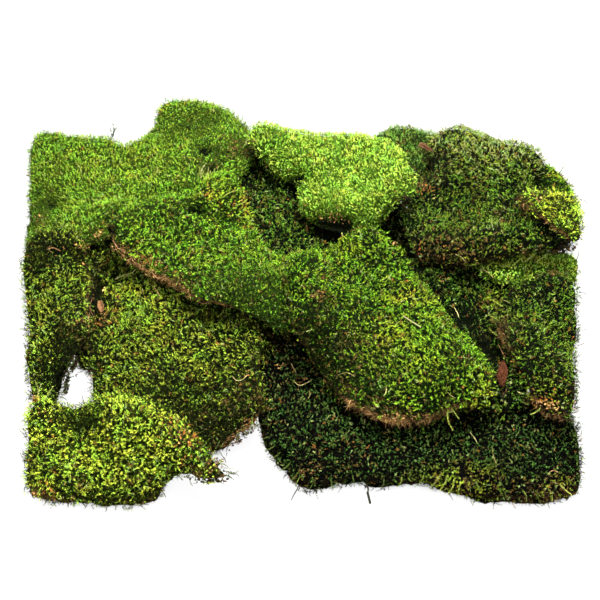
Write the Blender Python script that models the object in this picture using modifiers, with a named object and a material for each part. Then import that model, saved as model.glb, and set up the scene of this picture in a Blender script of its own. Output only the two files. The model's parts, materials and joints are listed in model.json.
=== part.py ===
"""A clump of woodland moss: torn mats heaped and lapped over one another, with a little bark and leaf in them.

Outlines are plan views in millimetres, x to the right and y to the back. Heights go up from the ground at zero.
"""
import math

import bmesh
import bpy
import numpy as np
from mathutils import Euler, Vector, geometry, noise

MM = 0.001

# Driving dimensions, in millimetres
RIM_STEP = 11.0          # spacing of the points along a mat's margin
FIELD_STEP = 14.5        # spacing of the points across a mat
RAGGED = 2.6             # how far the torn margin wanders in and out
SHOULDER = 22.0          # width over which a mat rises from its rim to its full thickness
LUMP_SIZE = 34.0         # spacing of the mounds in a mat
LUMP_RISE = 3.4          # height of those mounds
GAP = 0.5                # clearance between a mat and what it lies on
CELL = 2.0               # grid of the heap's height map
MAP_HALF = 300.0         # half width of the height map
BRIDGE_ROUNDS = 6        # smoothing rounds that let a mat bridge the steps below it
LIFT_REACH = 34.0        # how far in from a curled edge its lift fades away

# Each mat, lowest first: plan outline, thickness at the rim, rise of the crown above that, colour and curled edge.
# A curled edge is a line in plan and the height that it stands off what is below it.
MATS = {
    "mat_front": dict(
        outline=[(-36, -42), (16, -42), (62, -76), (104, -108), (150, -116), (206, -118), (224, -150), (222, -188),
                 (216, -210), (198, -218), (180, -220), (158, -219), (136, -216), (118, -210), (100, -205),
                 (80, -202), (58, -206), (34, -203), (10, -209), (-8, -200), (-24, -177), (-33, -150),
                 (-38, -110)],
        rim=9, crown=9, colour=(0.030, 0.060, 0.016)),
    "mat_middle_left": dict(
        outline=[(-199, -8), (-199, -36), (-194, -70), (-185, -90), (-174, -97), (-172, -124), (-162, -146),
                 (-128, -154), (-94, -168), (-76, -176), (-58, -172), (-37, -158), (-29, -142), (-32, -98),
                 (-28, -50), (-60, -10),
                 (-100, 28), (-150, 60), (-190, 64), (-202, 34)],
        rim=8, crown=9, colour=(0.110, 0.150, 0.030)),
    "mat_hollow": dict(
        outline=[(-102, 124), (-82, 60), (-50, 12), (-8, -10), (36, -14), (88, -10), (104, -2), (110, 40), (108, 86),
                 (90, 112), (40, 126), (-10, 168), (-40, 196), (-62, 196), (-96, 160)],
        rim=7, crown=3, colour=(0.020, 0.040, 0.012)),
    "mat_saddle": dict(
        outline=[(84, -18), (86, -60), (106, -110), (130, -144), (160, -150), (184, -130), (198, -68), (208, -20),
                 (200, 10), (176, 24), (134, 27), (96, 24)],
        rim=7, crown=4, colour=(0.040, 0.070, 0.020)),
    "mat_back_lobe": dict(
        outline=[(80, 138), (88, 112), (108, 98), (134, 108), (147, 152), (142, 190), (118, 205), (90, 208),
                 (70, 192), (68, 164)],
        rim=8, crown=12, colour=(0.060, 0.110, 0.030)),
    "mat_back_left": dict(
        outline=[(-256, 96), (-253, 54), (-236, 26), (-206, 22), (-186, 30), (-168, 42), (-150, 54), (-120, 66),
                 (-96, 76), (-76, 94), (-58, 118), (-48, 146), (-45, 174), (-50, 194), (-60, 212), (-76, 238),
                 (-111, 249), (-145, 240), (-147, 214), (-157, 194), (-168, 187), (-174, 177), (-182, 188),
                 (-194, 193), (-220, 192), (-260, 200), (-266, 176)],
        rim=9, crown=9, colour=(0.130, 0.200, 0.035)),
    "mat_left": dict(
        outline=[(-236, -42), (-229, -92), (-219, -130), (-206, -136), (-197, -128), (-193, -108), (-184, -90),
                 (-175, -70), (-179, -44), (-182, -16), (-187, 18), (-194, 32), (-216, 38), (-238, 34), (-245, 12)],
        rim=9, crown=8, colour=(0.080, 0.120, 0.025)),
    "mat_ridge": dict(
        outline=[(172, -8), (198, -8), (222, -6), (242, -2), (252, 18), (244, 42), (204, 40), (176, 30), (154, 12)],
        rim=6, crown=5, colour=(0.170, 0.220, 0.050)),
    "mat_right": dict(
        outline=[(165, -72), (170, -96), (176, -124), (182, -144), (192, -157), (209, -158), (220, -138), (227, -94),
                 (238, -50), (238, -13), (212, -8), (188, -19), (168, -43)],
        rim=9, crown=12, colour=(0.100, 0.150, 0.030)),
    "mat_corner": dict(
        outline=[(208, 120), (212, 148), (227, 161), (245, 151), (258, 131), (263, 108), (262, 84), (258, 60),
                 (245, 48), (232, 54), (218, 74), (208, 96)],
        rim=8, crown=9, colour=(0.190, 0.240, 0.060)),
    "mat_right_back": dict(
        outline=[(118, 110), (98, 84), (94, 46), (104, 16), (128, 6), (158, 6), (194, 10), (226, 15), (243, 34),
                 (243, 56), (231, 74), (220, 90), (216, 108), (224, 127), (233, 141), (224, 156),
                 (203, 173), (181, 190), (158, 191), (136, 177), (121, 157)],
        rim=9, crown=12, colour=(0.110, 0.140, 0.045)),
    "mat_left_centre": dict(
        outline=[(-161, 11), (-149, 3), (-127, -11), (-100, -28), (-82, -46), (-46, -66), (-12, -82), (2, -76),
                 (6, -40), (-4, 4), (-22, 24), (-34, 40), (-46, 72), (-56, 102), (-69, 117), (-82, 110), (-94, 94),
                 (-110, 83), (-134, 75), (-149, 67), (-159, 55), (-166, 41), (-168, 24)],
        rim=8, crown=10, colour=(0.130, 0.200, 0.030), curl=((-170, 24), (-40, -70), 7)),
    "mat_front_left": dict(
        outline=[(-217, -176), (-213, -204), (-200, -216), (-182, -219), (-162, -221), (-128, -222), (-109, -218),
                 (-104, -206), (-93, -198), (-78, -206), (-56, -203), (-72, -184), (-86, -166), (-103, -150),
                 (-128, -136), (-156, -132), (-180, -140), (-204, -135), (-218, -146)],
        rim=9, crown=9, colour=(0.150, 0.210, 0.035)),
    "mat_bright": dict(
        outline=[(-32, 134), (-10, 114), (1, 96), (0, 76), (14, 56), (40, 46), (62, 43), (80, 60), (98, 73),
                 (105, 88), (98, 116), (94, 145), (73, 167), (50, 186), (24, 192), (-8, 190), (-38, 182),
                 (-50, 160)],
        rim=9, crown=13, colour=(0.270, 0.400, 0.060), curl=((0, 78), (80, 50), 5)),
    "mat_yellow": dict(
        outline=[(204, 41), (220, 23), (236, 5), (244, 15), (247, 43), (244, 64), (224, 66), (206, 70), (190, 63)],
        rim=8, crown=6, colour=(0.260, 0.290, 0.050), curl=((190, 61), (232, 8), 2)),
    "mat_centre": dict(
        outline=[(-9, -62), (-5, -86), (4, -101), (15, -115), (25, -129), (36, -142), (54, -154), (77, -162),
                 (110, -161), (121, -153), (140, -152), (154, -138), (151, -118), (141, -94), (128, -64),
                 (117, -40), (100, -12), (86, 14), (66, 32), (40, 28), (8, 8), (-12, -14)],
        rim=9, crown=14, colour=(0.140, 0.210, 0.030), curl=((36, -138), (110, -162), 4)),
}

# Litter
REST_REACH = 2.5                 # how far round each of its points a piece looks for what it lies on
CURL_PLACE = (162.0, -120.0)     # middle of the bark curl
CURL_LENGTH = 23.0
CURL_RADIUS = 3.7
CURL_WALL = 1.3
CURL_TURN = (-25, 205)           # degrees at which the roll starts and ends
CURL_TAPER = 0.3                 # how much narrower its ends are than its middle
CURL_SKEW = 0.15                 # how far its ends are torn on a slant
CHIP_PLACE = (118.0, 138.0)
CHIP_SIZE = (15.0, 8.0, 3.0)
CHIP_NARROW = 0.55               # width of its narrow end as a share of the wide one
CHIP_WEAR = 0.9
LEAF_PLACE = (-171.0, -36.0)
LEAF_SIZE = (6.0, 10.0)
LEAF_WALL = 0.6
LEAF_CUP = 1.25                  # rise of its two sides above its midrib
LEAF_ARCH = 1.2                  # rise from its one end to the other
NEEDLE_ENDS = ((84.0, -72.0), (98.0, -84.0))
NEEDLE_RADIUS = 0.5
TWIG_ENDS = ((52.2, -208.0), (54.0, -218.0))
TWIG_RADIUS = 0.9

BARK = (0.120, 0.050, 0.028)
CHIP_BARK = (0.150, 0.075, 0.035)
LEAF = (0.330, 0.180, 0.070)
STRAW = (0.550, 0.520, 0.340)
DARK_WOOD = (0.050, 0.035, 0.022)


def clear_scene():
    for obj in list(bpy.data.objects):
        bpy.data.objects.remove(obj)


def material(name, colour, roughness):
    mat = bpy.data.materials.new(name)
    mat.use_nodes = True
    shader = mat.node_tree.nodes["Principled BSDF"]
    shader.inputs["Base Color"].default_value = (*colour, 1.0)
    shader.inputs["Roughness"].default_value = roughness
    shader.inputs["Metallic"].default_value = 0.0
    return mat


def add_object(name, mesh, colour, roughness, collection):
    obj = bpy.data.objects.new(name, mesh)
    collection.objects.link(obj)
    mesh.materials.append(material(name, colour, roughness))
    return obj


def wave(x, y, size, seed):
    """Smooth noise from -1 to 1, with mounds about size millimetres apart."""
    return noise.noise(Vector((x / size, y / size, seed * 7.31)))


# The heap's height map


class HeightMap:
    """The highest point of what is already laid, on a square grid in plan."""

    def __init__(self):
        self.count = int(2 * MAP_HALF / CELL)
        self.top = np.zeros((self.count, self.count))
        centres = (np.arange(self.count) + 0.5) * CELL - MAP_HALF
        self.x, self.y = np.meshgrid(centres, centres)

    def span(self, low, high):
        first = max(0, int((low + MAP_HALF) / CELL) - 1)
        last = min(self.count, int((high + MAP_HALF) / CELL) + 2)
        return slice(first, last)

    def highest_near(self, x, y, reach):
        """The highest point within reach of a place in plan."""
        rows, columns = self.span(y - reach, y + reach), self.span(x - reach, x + reach)
        near = (self.x[rows, columns] - x) ** 2 + (self.y[rows, columns] - y) ** 2 <= reach ** 2
        return float(self.top[rows, columns][near].max(initial=0.0))

    def lay(self, mesh):
        """Raises the map to the top of a finished mesh."""
        mesh.calc_loop_triangles()
        points = np.array([vertex.co for vertex in mesh.vertices]) / MM
        for triangle in mesh.loop_triangles:
            self.lay_triangle(points[list(triangle.vertices)])

    def lay_triangle(self, corners):
        for x, y, z in corners:
            row, column = int((y + MAP_HALF) / CELL), int((x + MAP_HALF) / CELL)
            self.top[row, column] = max(self.top[row, column], z)
        (ax, ay, az), (bx, by, bz), (cx, cy, cz) = corners
        area = (bx - ax) * (cy - ay) - (cx - ax) * (by - ay)
        if abs(area) < 1e-6:
            return
        rows = self.span(corners[:, 1].min(), corners[:, 1].max())
        columns = self.span(corners[:, 0].min(), corners[:, 0].max())
        x, y = self.x[rows, columns], self.y[rows, columns]
        b = ((x - ax) * (cy - ay) - (cx - ax) * (y - ay)) / area
        c = ((bx - ax) * (y - ay) - (x - ax) * (by - ay)) / area
        height = az + b * (bz - az) + c * (cz - az)
        inside = (b >= -0.05) & (c >= -0.05) & (b + c <= 1.05)
        self.top[rows, columns] = np.where(inside, np.maximum(self.top[rows, columns], height),
                                           self.top[rows, columns])


# Mats


def smooth_outline(points):
    """A closed smooth curve through the points, with a point about every RIM_STEP."""
    line = []
    for i, here in enumerate(points):
        before, after, beyond = points[i - 1], points[(i + 1) % len(points)], points[(i + 2) % len(points)]
        steps = max(1, round(math.dist(here, after) / RIM_STEP))
        for k in range(steps):
            t = k / steps
            line.append(tuple(
                0.5 * (2 * h + (a - b) * t + (2 * b - 5 * h + 4 * a - c) * t * t + (3 * h - b - 3 * a + c) * t ** 3)
                for b, h, a, c in zip(before, here, after, beyond)))
    return line


def torn_outline(points, seed):
    """The outline with its torn margin: each point moves in or out along its own normal."""
    line = smooth_outline(points)
    torn = []
    for i, (x, y) in enumerate(line):
        (px, py), (nx, ny) = line[i - 1], line[(i + 1) % len(line)]
        length = math.hypot(nx - px, ny - py)
        push = RAGGED * (wave(x, y, 17.0, seed) + 0.6 * wave(x, y, 8.0, seed + 40))
        torn.append((x + push * (ny - py) / length, y - push * (nx - px) / length))
    return torn


def margin_distance(x, y, outline):
    """Distance in plan from a place to the margin, and whether the place is inside it."""
    nearest, inside = 1e9, False
    for i, (ax, ay) in enumerate(outline):
        bx, by = outline[(i + 1) % len(outline)]
        along = ((x - ax) * (bx - ax) + (y - ay) * (by - ay)) / ((bx - ax) ** 2 + (by - ay) ** 2)
        along = min(1.0, max(0.0, along))
        nearest = min(nearest, math.dist((x, y), (ax + along * (bx - ax), ay + along * (by - ay))))
        if (ay > y) != (by > y) and x < ax + (y - ay) / (by - ay) * (bx - ax):
            inside = not inside
    return nearest, inside


def field_points(outline, seed):
    """Points in staggered rows across the mat, each moved a little so that no row shows."""
    xs, ys = [p[0] for p in outline], [p[1] for p in outline]
    row_step = FIELD_STEP * math.sqrt(3) / 2
    points = []
    for row in range(int((max(ys) - min(ys)) / row_step) + 1):
        for column in range(int((max(xs) - min(xs)) / FIELD_STEP) + 1):
            x = min(xs) + (column + 0.5 * (row % 2)) * FIELD_STEP
            y = min(ys) + row * row_step
            x, y = x + 3.0 * wave(x, y, 5.0, seed + 80), y + 3.0 * wave(x, y, 5.0, seed + 90)
            distance, inside = margin_distance(x, y, outline)
            if inside and distance > 0.62 * RIM_STEP:
                points.append((x, y))
    return points


def sheet(outline, seed):
    """A flat triangulated sheet filling the outline, in millimetres."""
    corners = [Vector(p) for p in outline + field_points(outline, seed)]
    rim = list(range(len(outline)))
    points, _, faces, _, _, _ = geometry.delaunay_2d_cdt(corners, [], [rim], 1, 1e-4)
    bm = bmesh.new()
    vertices = [bm.verts.new((p.x, p.y, 0.0)) for p in points]
    for face in faces:
        bm.faces.new([vertices[i] for i in face])
    bmesh.ops.recalc_face_normals(bm, faces=bm.faces)
    return bm


def longest_edge(vertex):
    return max(edge.calc_length() for edge in vertex.link_edges)


def curl_lift(x, y, curl):
    """How far the curled edge raises a place in the mat."""
    if curl is None:
        return 0.0
    (ax, ay), (bx, by), height = curl
    along = ((x - ax) * (bx - ax) + (y - ay) * (by - ay)) / ((bx - ax) ** 2 + (by - ay) ** 2)
    along = min(1.0, max(0.0, along))
    distance = math.dist((x, y), (ax + along * (bx - ax), ay + along * (by - ay)))
    return height * max(0.0, 1.0 - distance / LIFT_REACH) ** 2


def underside_heights(bm, heap, curl):
    """Height of the underside at each vertex: clear of the heap everywhere, and bridging its steps smoothly."""
    floor = {}
    for vertex in bm.verts:
        below = heap.highest_near(vertex.co.x, vertex.co.y, longest_edge(vertex) + 2 * CELL)
        floor[vertex] = below + GAP if below > 0.0 else 0.0
    height = dict(floor)
    for _ in range(BRIDGE_ROUNDS):
        level = {}
        for vertex in bm.verts:
            around = [height[edge.other_vert(vertex)] for edge in vertex.link_edges]
            level[vertex] = max(floor[vertex], 0.5 * height[vertex] + 0.5 * sum(around) / len(around))
        height = level
    return {vertex: height[vertex] + curl_lift(vertex.co.x, vertex.co.y, curl) for vertex in bm.verts}


def thickness(x, y, outline, rim, crown, seed):
    distance, _ = margin_distance(x, y, outline)
    rise = min(1.0, distance / SHOULDER)
    dome = math.sin(rise * math.pi / 2)
    mounds = LUMP_RISE * (wave(x, y, LUMP_SIZE, seed + 10) + 0.5 * wave(x, y, LUMP_SIZE / 2, seed + 20))
    return rim + crown * dome + mounds * (0.35 + 0.65 * rise)


def mat_mesh(name, seed, heap, outline, rim, crown, curl):
    """A mat as one closed body: its sheet is the underside, and the same sheet lifted by the thickness is its top."""
    margin = torn_outline(outline, seed)
    bm = sheet(margin, seed)
    under = underside_heights(bm, heap, curl)
    on_ground = max(under.values()) == 0.0
    bottom_faces = list(bm.faces)
    lifted = bmesh.ops.extrude_face_region(bm, geom=bottom_faces, use_keep_orig=True)
    tops = [part for part in lifted["geom"] if isinstance(part, bmesh.types.BMVert)]
    by_place = {(vertex.co.x, vertex.co.y): height for vertex, height in under.items()}
    for vertex in tops:
        x, y = vertex.co.x, vertex.co.y
        vertex.co.z = by_place[(x, y)] + thickness(x, y, margin, rim, crown, seed)
    for vertex, height in under.items():
        vertex.co.z = height
    if on_ground:
        bmesh.ops.dissolve_faces(bm, faces=bottom_faces)
        loose = [vertex for vertex in bm.verts if not vertex.link_faces]
        bmesh.ops.delete(bm, geom=loose, context="VERTS")
    bmesh.ops.recalc_face_normals(bm, faces=bm.faces)
    bmesh.ops.scale(bm, vec=(MM, MM, MM), verts=bm.verts)
    mesh = bpy.data.meshes.new(name)
    bm.to_mesh(mesh)
    bm.free()
    return mesh


def build_mats(heap, collection):
    for seed, (name, mat) in enumerate(MATS.items()):
        mesh = mat_mesh(name, seed, heap, mat["outline"], mat["rim"], mat["crown"], mat.get("curl"))
        heap.lay(mesh)
        add_object(name, mesh, mat["colour"], 0.9, collection)


# Litter


def rest_on(heap, obj, place, turn, wall):
    """Turns a piece, stands it at a place in plan, and lowers it until one of its points is clear of the heap."""
    turned = Euler(turn).to_matrix()
    below = 0.0
    for vertex in obj.data.vertices:
        x, y, z = turned @ vertex.co / MM
        below = max(below, heap.highest_near(place[0] + x, place[1] + y, REST_REACH) - z)
    obj.rotation_euler = turn
    obj.location = (place[0] * MM, place[1] * MM, (below + wall + GAP) * MM)
    return obj


def bark_curl(heap, collection):
    """A strip of bark rolled up along its length: part of a tube, open below."""
    mesh = bpy.data.meshes.new("bark_curl")
    bm = bmesh.new()
    arcs, stations = 7, 6
    rows = []
    for s in range(stations):
        y = (s / (stations - 1) - 0.5) * CURL_LENGTH
        radius = CURL_RADIUS * (1.0 - CURL_TAPER * (2 * s / (stations - 1) - 1) ** 2)
        row = []
        for a in range(arcs):
            angle = math.radians(CURL_TURN[0] + (CURL_TURN[1] - CURL_TURN[0]) * a / (arcs - 1))
            slant = 1.0 + CURL_SKEW * math.sin(angle)
            row.append(bm.verts.new((radius * math.cos(angle) * MM, y * slant * MM, radius * math.sin(angle) * MM)))
        rows.append(row)
    for near, far in zip(rows, rows[1:]):
        for a in range(arcs - 1):
            bm.faces.new((near[a], near[a + 1], far[a + 1], far[a]))
    bm.to_mesh(mesh)
    bm.free()
    obj = add_object("bark_curl", mesh, BARK, 0.85, collection)
    shell = obj.modifiers.new("wall", "SOLIDIFY")
    shell.thickness = CURL_WALL * MM
    shell.offset = 0.0
    return rest_on(heap, obj, CURL_PLACE, (0.0, 0.0, math.radians(-9)), CURL_WALL)


def bark_chip(heap, collection):
    bpy.ops.mesh.primitive_cube_add(size=1.0)
    obj = bpy.context.object
    obj.name = "bark_chip"
    for old in list(obj.users_collection):
        old.objects.unlink(obj)
    collection.objects.link(obj)
    length, width, height = CHIP_SIZE
    for vertex in obj.data.vertices:
        taper = 1.0 if vertex.co.x < 0 else CHIP_NARROW
        x, y, z = vertex.co
        vertex.co = (x * length * MM, y * width * taper * MM, (z + 0.5) * height * MM)
    obj.data.materials.append(material("bark_chip", CHIP_BARK, 0.85))
    edge = obj.modifiers.new("worn_edges", "BEVEL")
    edge.width = CHIP_WEAR * MM
    edge.segments = 1
    return rest_on(heap, obj, CHIP_PLACE, (math.radians(4), math.radians(5), math.radians(-35)), 0.0)


def leaf_scrap(heap, collection):
    """A torn corner of a dead leaf, cupped across its width."""
    mesh = bpy.data.meshes.new("leaf_scrap")
    bm = bmesh.new()
    bmesh.ops.create_grid(bm, x_segments=3, y_segments=4, size=0.5)
    width, length = LEAF_SIZE
    for vertex in bm.verts:
        x, y, _ = vertex.co
        narrow = 1.0 - 0.5 * abs(2 * y)
        vertex.co = (x * width * narrow * MM, y * length * MM, (LEAF_CUP * (2 * x) ** 2 + LEAF_ARCH * y) * MM)
    bm.to_mesh(mesh)
    bm.free()
    obj = add_object("leaf_scrap", mesh, LEAF, 0.7, collection)
    sheet_body = obj.modifiers.new("thickness", "SOLIDIFY")
    sheet_body.thickness = LEAF_WALL * MM
    sheet_body.offset = 1.0
    return rest_on(heap, obj, LEAF_PLACE, (math.radians(20), 0.0, math.radians(15)), LEAF_WALL)


def stick(name, ends, heights, radius, colour, collection):
    """A straight thin stick from one end to the other."""
    curve = bpy.data.curves.new(name + "_line", "CURVE")
    curve.dimensions = "3D"
    curve.bevel_depth = radius * MM
    curve.bevel_resolution = 1
    curve.use_fill_caps = True
    spline = curve.splines.new("POLY")
    spline.points.add(1)
    for point, (x, y), z in zip(spline.points, ends, heights):
        point.co = (x * MM, y * MM, z * MM, 1.0)
    obj = bpy.data.objects.new(name, curve)
    collection.objects.link(obj)
    curve.materials.append(material(name, colour, 0.6))
    return obj


def build_litter(heap, collection):
    bark_curl(heap, collection)
    bark_chip(heap, collection)
    leaf_scrap(heap, collection)
    middle = [sum(pair) / 2 for pair in zip(*NEEDLE_ENDS)]
    rest = heap.highest_near(*middle, math.dist(*NEEDLE_ENDS) / 2 + 2 * CELL) + GAP + NEEDLE_RADIUS
    stick("pale_needle", NEEDLE_ENDS, (rest, rest), NEEDLE_RADIUS, STRAW, collection)
    stick("twig", TWIG_ENDS, (TWIG_RADIUS, TWIG_RADIUS), TWIG_RADIUS, DARK_WOOD, collection)


def centre_clump(collection):
    """Hangs every piece on one empty, and moves it so that the clump's middle is over the origin."""
    bpy.context.view_layer.update()
    corners = [obj.matrix_world @ Vector(corner) for obj in collection.objects for corner in obj.bound_box]
    middle = [(min(c[axis] for c in corners) + max(c[axis] for c in corners)) / 2 for axis in (0, 1)]
    clump = bpy.data.objects.new("clump", None)
    for obj in collection.objects:
        obj.parent = clump
    collection.objects.link(clump)
    clump.location = (-middle[0], -middle[1], 0.0)


def main():
    clear_scene()
    collection = bpy.data.collections.new("moss_clump")
    bpy.context.scene.collection.children.link(collection)
    heap = HeightMap()
    build_mats(heap, collection)
    build_litter(heap, collection)
    centre_clump(collection)


main()
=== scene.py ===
"""Looks of a clump of woodland moss: felted mats thick with leafy shoots, torn brown edges and a little litter."""

import json
import math

import bmesh
import bpy
import numpy as np
from mathutils import Matrix, Vector, noise
from mathutils.bvhtree import BVHTree

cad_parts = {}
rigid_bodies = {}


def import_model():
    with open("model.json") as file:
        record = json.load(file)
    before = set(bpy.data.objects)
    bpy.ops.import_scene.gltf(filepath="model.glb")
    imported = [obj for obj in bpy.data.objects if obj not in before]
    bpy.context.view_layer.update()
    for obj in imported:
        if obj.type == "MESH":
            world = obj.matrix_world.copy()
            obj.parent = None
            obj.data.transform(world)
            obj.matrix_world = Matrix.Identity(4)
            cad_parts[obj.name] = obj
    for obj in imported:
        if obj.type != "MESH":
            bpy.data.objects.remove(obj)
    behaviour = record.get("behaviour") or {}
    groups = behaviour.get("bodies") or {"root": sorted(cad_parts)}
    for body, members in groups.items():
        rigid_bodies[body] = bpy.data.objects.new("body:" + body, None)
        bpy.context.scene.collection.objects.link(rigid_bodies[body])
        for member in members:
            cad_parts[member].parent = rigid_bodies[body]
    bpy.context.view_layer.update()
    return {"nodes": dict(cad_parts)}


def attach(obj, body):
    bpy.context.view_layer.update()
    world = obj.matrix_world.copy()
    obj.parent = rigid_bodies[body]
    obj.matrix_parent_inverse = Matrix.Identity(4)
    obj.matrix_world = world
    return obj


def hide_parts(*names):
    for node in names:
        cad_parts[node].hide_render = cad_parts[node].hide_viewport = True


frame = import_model()

MM = 0.001
IMAGE = 600                         # the photograph's width and height in pixels

# Camera, in millimetres and degrees
CAMERA_TARGET = Vector((2.1, -43.5, 20.0))
CAMERA_DISTANCE = 1000.0
CAMERA_ELEVATION = 50.0
FIELD_WIDTH = 516.0                 # width seen at the target
SENSOR_WIDTH = 36.0

# Studio, in metres
FLOOR_DROP = 0.0004                 # how far the floor lies below the part
GROUND_GLOW = 0.90                  # light that the white ground gives off away from nooks
NOOK_REACH = 0.014                  # how near something has to stand to make a nook
SKY_STRENGTH = 0.70
LAMP_DISTANCE = 1.6
# Lamps: degrees round from the camera and up, watts, size and colour
LAMPS = {
    "window": (162.0, 58.0, 118.0, 0.5, (1.0, 0.98, 0.94)),
    "front_fill": (-25.0, 50.0, 15.0, 1.2, (0.95, 0.98, 1.0)),
}

# Felt bodies, in millimetres
TOP_INSET = 4.6                     # how far the felt lies below the tips on a mat's top
SIDE_INSET = 1.8                    # and at its sides
TUFT_SIZE = 14.0
TUFT_RISE = 1.6
GRAIN_SIZE = 6.0
GRAIN_RISE = 0.8
RIM_BITE = 3.0                      # how deep the felt's sides are bitten in, twice as deep at free margins
BITE_SIZE = 7.0                     # spacing of the bites
UNDERCUT = 3.0                      # how far a free margin's lower rim lies behind its upper one
UNDERCUT_TOP = 16.0                 # height above the ground at which that ends
FREE_REACH = 22.0                   # a margin is free if nothing stands before it for this far
OPEN_REACH = 60.0                   # how far the open sky is looked for
PIT_DEPTH = 5.0                     # how far the felt sinks where a patch is deep

# Moss, in millimetres
SHOOT_HEIGHT = 6.0
CLUSTER_SIZE = 5.5                  # shoots stand in clusters of this size
FLOW_SIZE = 38.0                    # and lie in swirls of this size
FRINGE_SIZE = 12.0                  # the long shoots at a mat's margin stand in groups of this size
BALD_SIZE = 9.0                     # spacing of the bare spots on the sides
HEIGHT_SIZE = 10.0                  # spacing of taller and lower stands of shoots
DRY_SIZE = 26.0                     # spacing of the drier parts of a mat
GROUND_GAP = 0.1                    # least height of anything thin above the ground
LEAVES = 15                         # leaves on a shoot
LEAF_ROWS, LEAF_COLUMNS = 4, 4      # how the leaves of a shoot share its cell in the OFBake map
LEAF_LAYERS = ("tip", "leaf", "cell_u", "cell_v")
KINDS = 5                           # shapes of shoot in each bed
FIBRE_KINDS = 4
FIBRE_WIDTH = 0.34
CROWDING = 1.9                      # most shoots on a square as wide as their least distance

# How each coat grows: least distance between shoots in millimetres, lean, lift, flow, least and most size, and
# shapes to draw from
COATS = {
    "moss": (1.46, 0.4, 0.4, 1.6, 0.75, 1.15, KINDS),
    "fringe": (2.6, 0.7, 0.15, 0.8, 0.8, 1.5, KINDS),
    "rootlets": (0.9, 0.9, -0.1, 0.6, 0.7, 1.5, FIBRE_KINDS),
}

# Kinds of moss: colours of the depths, the leaves and the tips, share of creeping shoots, size and gloss
MOSS_PARTS = ("deep", "body", "tip", "feather", "tall", "gloss")
MOSSES = {kind: dict(zip(MOSS_PARTS, parts)) for kind, *parts in (
    ("black", (0.001, 0.001, 0.001), (0.002, 0.006, 0.001), (0.105, 0.195, 0.038), 0.6, 0.95, 0.0),
    ("dark", (0.001, 0.003, 0.001), (0.010, 0.027, 0.003), (0.190, 0.330, 0.032), 0.6, 1.0, 0.01),
    ("shade", (0.002, 0.005, 0.001), (0.014, 0.032, 0.002), (0.220, 0.350, 0.030), 0.6, 1.0, 0.03),
    ("olive", (0.005, 0.008, 0.001), (0.082, 0.132, 0.007), (0.490, 0.630, 0.060), 0.7, 1.0, 0.03),
    ("green", (0.004, 0.012, 0.001), (0.060, 0.135, 0.005), (0.335, 0.565, 0.033), 0.6, 1.0, 0.03),
    ("meadow", (0.012, 0.028, 0.002), (0.120, 0.245, 0.011), (0.375, 0.630, 0.044), 0.6, 1.0, 0.03),
    ("lawn", (0.034, 0.068, 0.004), (0.165, 0.295, 0.016), (0.360, 0.580, 0.052), 0.5, 0.9, 0.03),
    ("blue", (0.011, 0.025, 0.004), (0.080, 0.155, 0.013), (0.260, 0.430, 0.060), 0.5, 0.9, 0.03),
    ("bright", (0.062, 0.128, 0.008), (0.290, 0.480, 0.030), (0.660, 0.860, 0.135), 0.3, 0.9, 0.03),
    ("yellow", (0.012, 0.020, 0.002), (0.165, 0.252, 0.013), (0.740, 0.930, 0.095), 0.7, 1.05, 0.03),
)}
# Which kind grows on each mat: the low front and hollow mats take the black and dark kinds and the right mats the
# shade kind, partly their own darker moss and partly painted shade; the ridge, lying in its neighbours' shade, takes
# the bright kind as painted light; back_left takes the pale lawn kind, partly paler moss and partly painted haze of
# back light
MAT_MOSS = {
    "mat_front": "black", "mat_middle_left": "olive", "mat_hollow": "dark", "mat_saddle": "dark",
    "mat_left": "olive", "mat_back_lobe": "blue", "mat_ridge": "bright", "mat_right_back": "shade",
    "mat_yellow": "yellow", "mat_corner": "green", "mat_front_left": "yellow", "mat_left_centre": "meadow",
    "mat_back_left": "lawn", "mat_bright": "bright", "mat_right": "shade", "mat_centre": "green",
}
# Painted shade: how much darker leaves are painted in hidden places and on steep sides, and how much more of a mat is
# dry there and in its dry parts
HIDDEN_SHADE, SIDE_SHADE = 0.42, 0.24
HIDDEN_DRY, SIDE_DRY, ARID_DRY = 0.22, 0.20, 0.25
# Share of that painted shade in mats that get more light
LIT_MATS = {"mat_ridge": 0.1, "mat_yellow": 0.1, "mat_left_centre": 0.3, "mat_bright": 0.5}

# Leaves that differ from their neighbours, and how common they are outside the patches; the pale ones stand partly
# for paler leaves and partly for painted glints and haze, the fresh ones partly for fresh growth and partly for
# painted light
ODD_LEAVES = {"fresh": (0.480, 0.520, 0.035), "pale": (0.360, 0.410, 0.135), "dry": (0.170, 0.110, 0.032),
              "rust": (0.460, 0.190, 0.040)}
DRY_SHARE, RUST_SHARE, PALE_SHARE = 0.035, 0.014, 0.045
LEAF_TONES = ("deep", "body", "tip", *ODD_LEAVES)
# How much lightness varies with a leaf's shoot, with the leaf itself, with its cluster and from place to place
LIGHTNESS_SPREADS = {"rnd": 0.90, "leaf": 1.25, "cluster": 0.85}
MOTTLE_SPREAD = 0.90
DEEP_SHIFT = -0.95                  # how much darker leaves are painted in deep places: painted shade, and partly dark moss in the deep patches
FRESH_AND_LIT_SHIFT = 0.18                  # and how much lighter in the fresh patches, partly fresh growth and partly painted light
PIT_SHADE_STRENGTH = 0.85                 # share of the nearly black painted shade in the deepest places
# Spacing of spots in millimetres: of lightness and of hue over the leaves, and of grain and of patches in the felt
LIGHTNESS_SIZE, HUE_SIZE, FELT_GRAIN, FELT_PATCH = 24.0, 11.0, 1.6, 9.0
GREENER = (0.860, 1.160, 1.080)     # a mat's colour changes between these two shades from patch to patch
BROWNER = (1.160, 1.040, 1.020)
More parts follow.
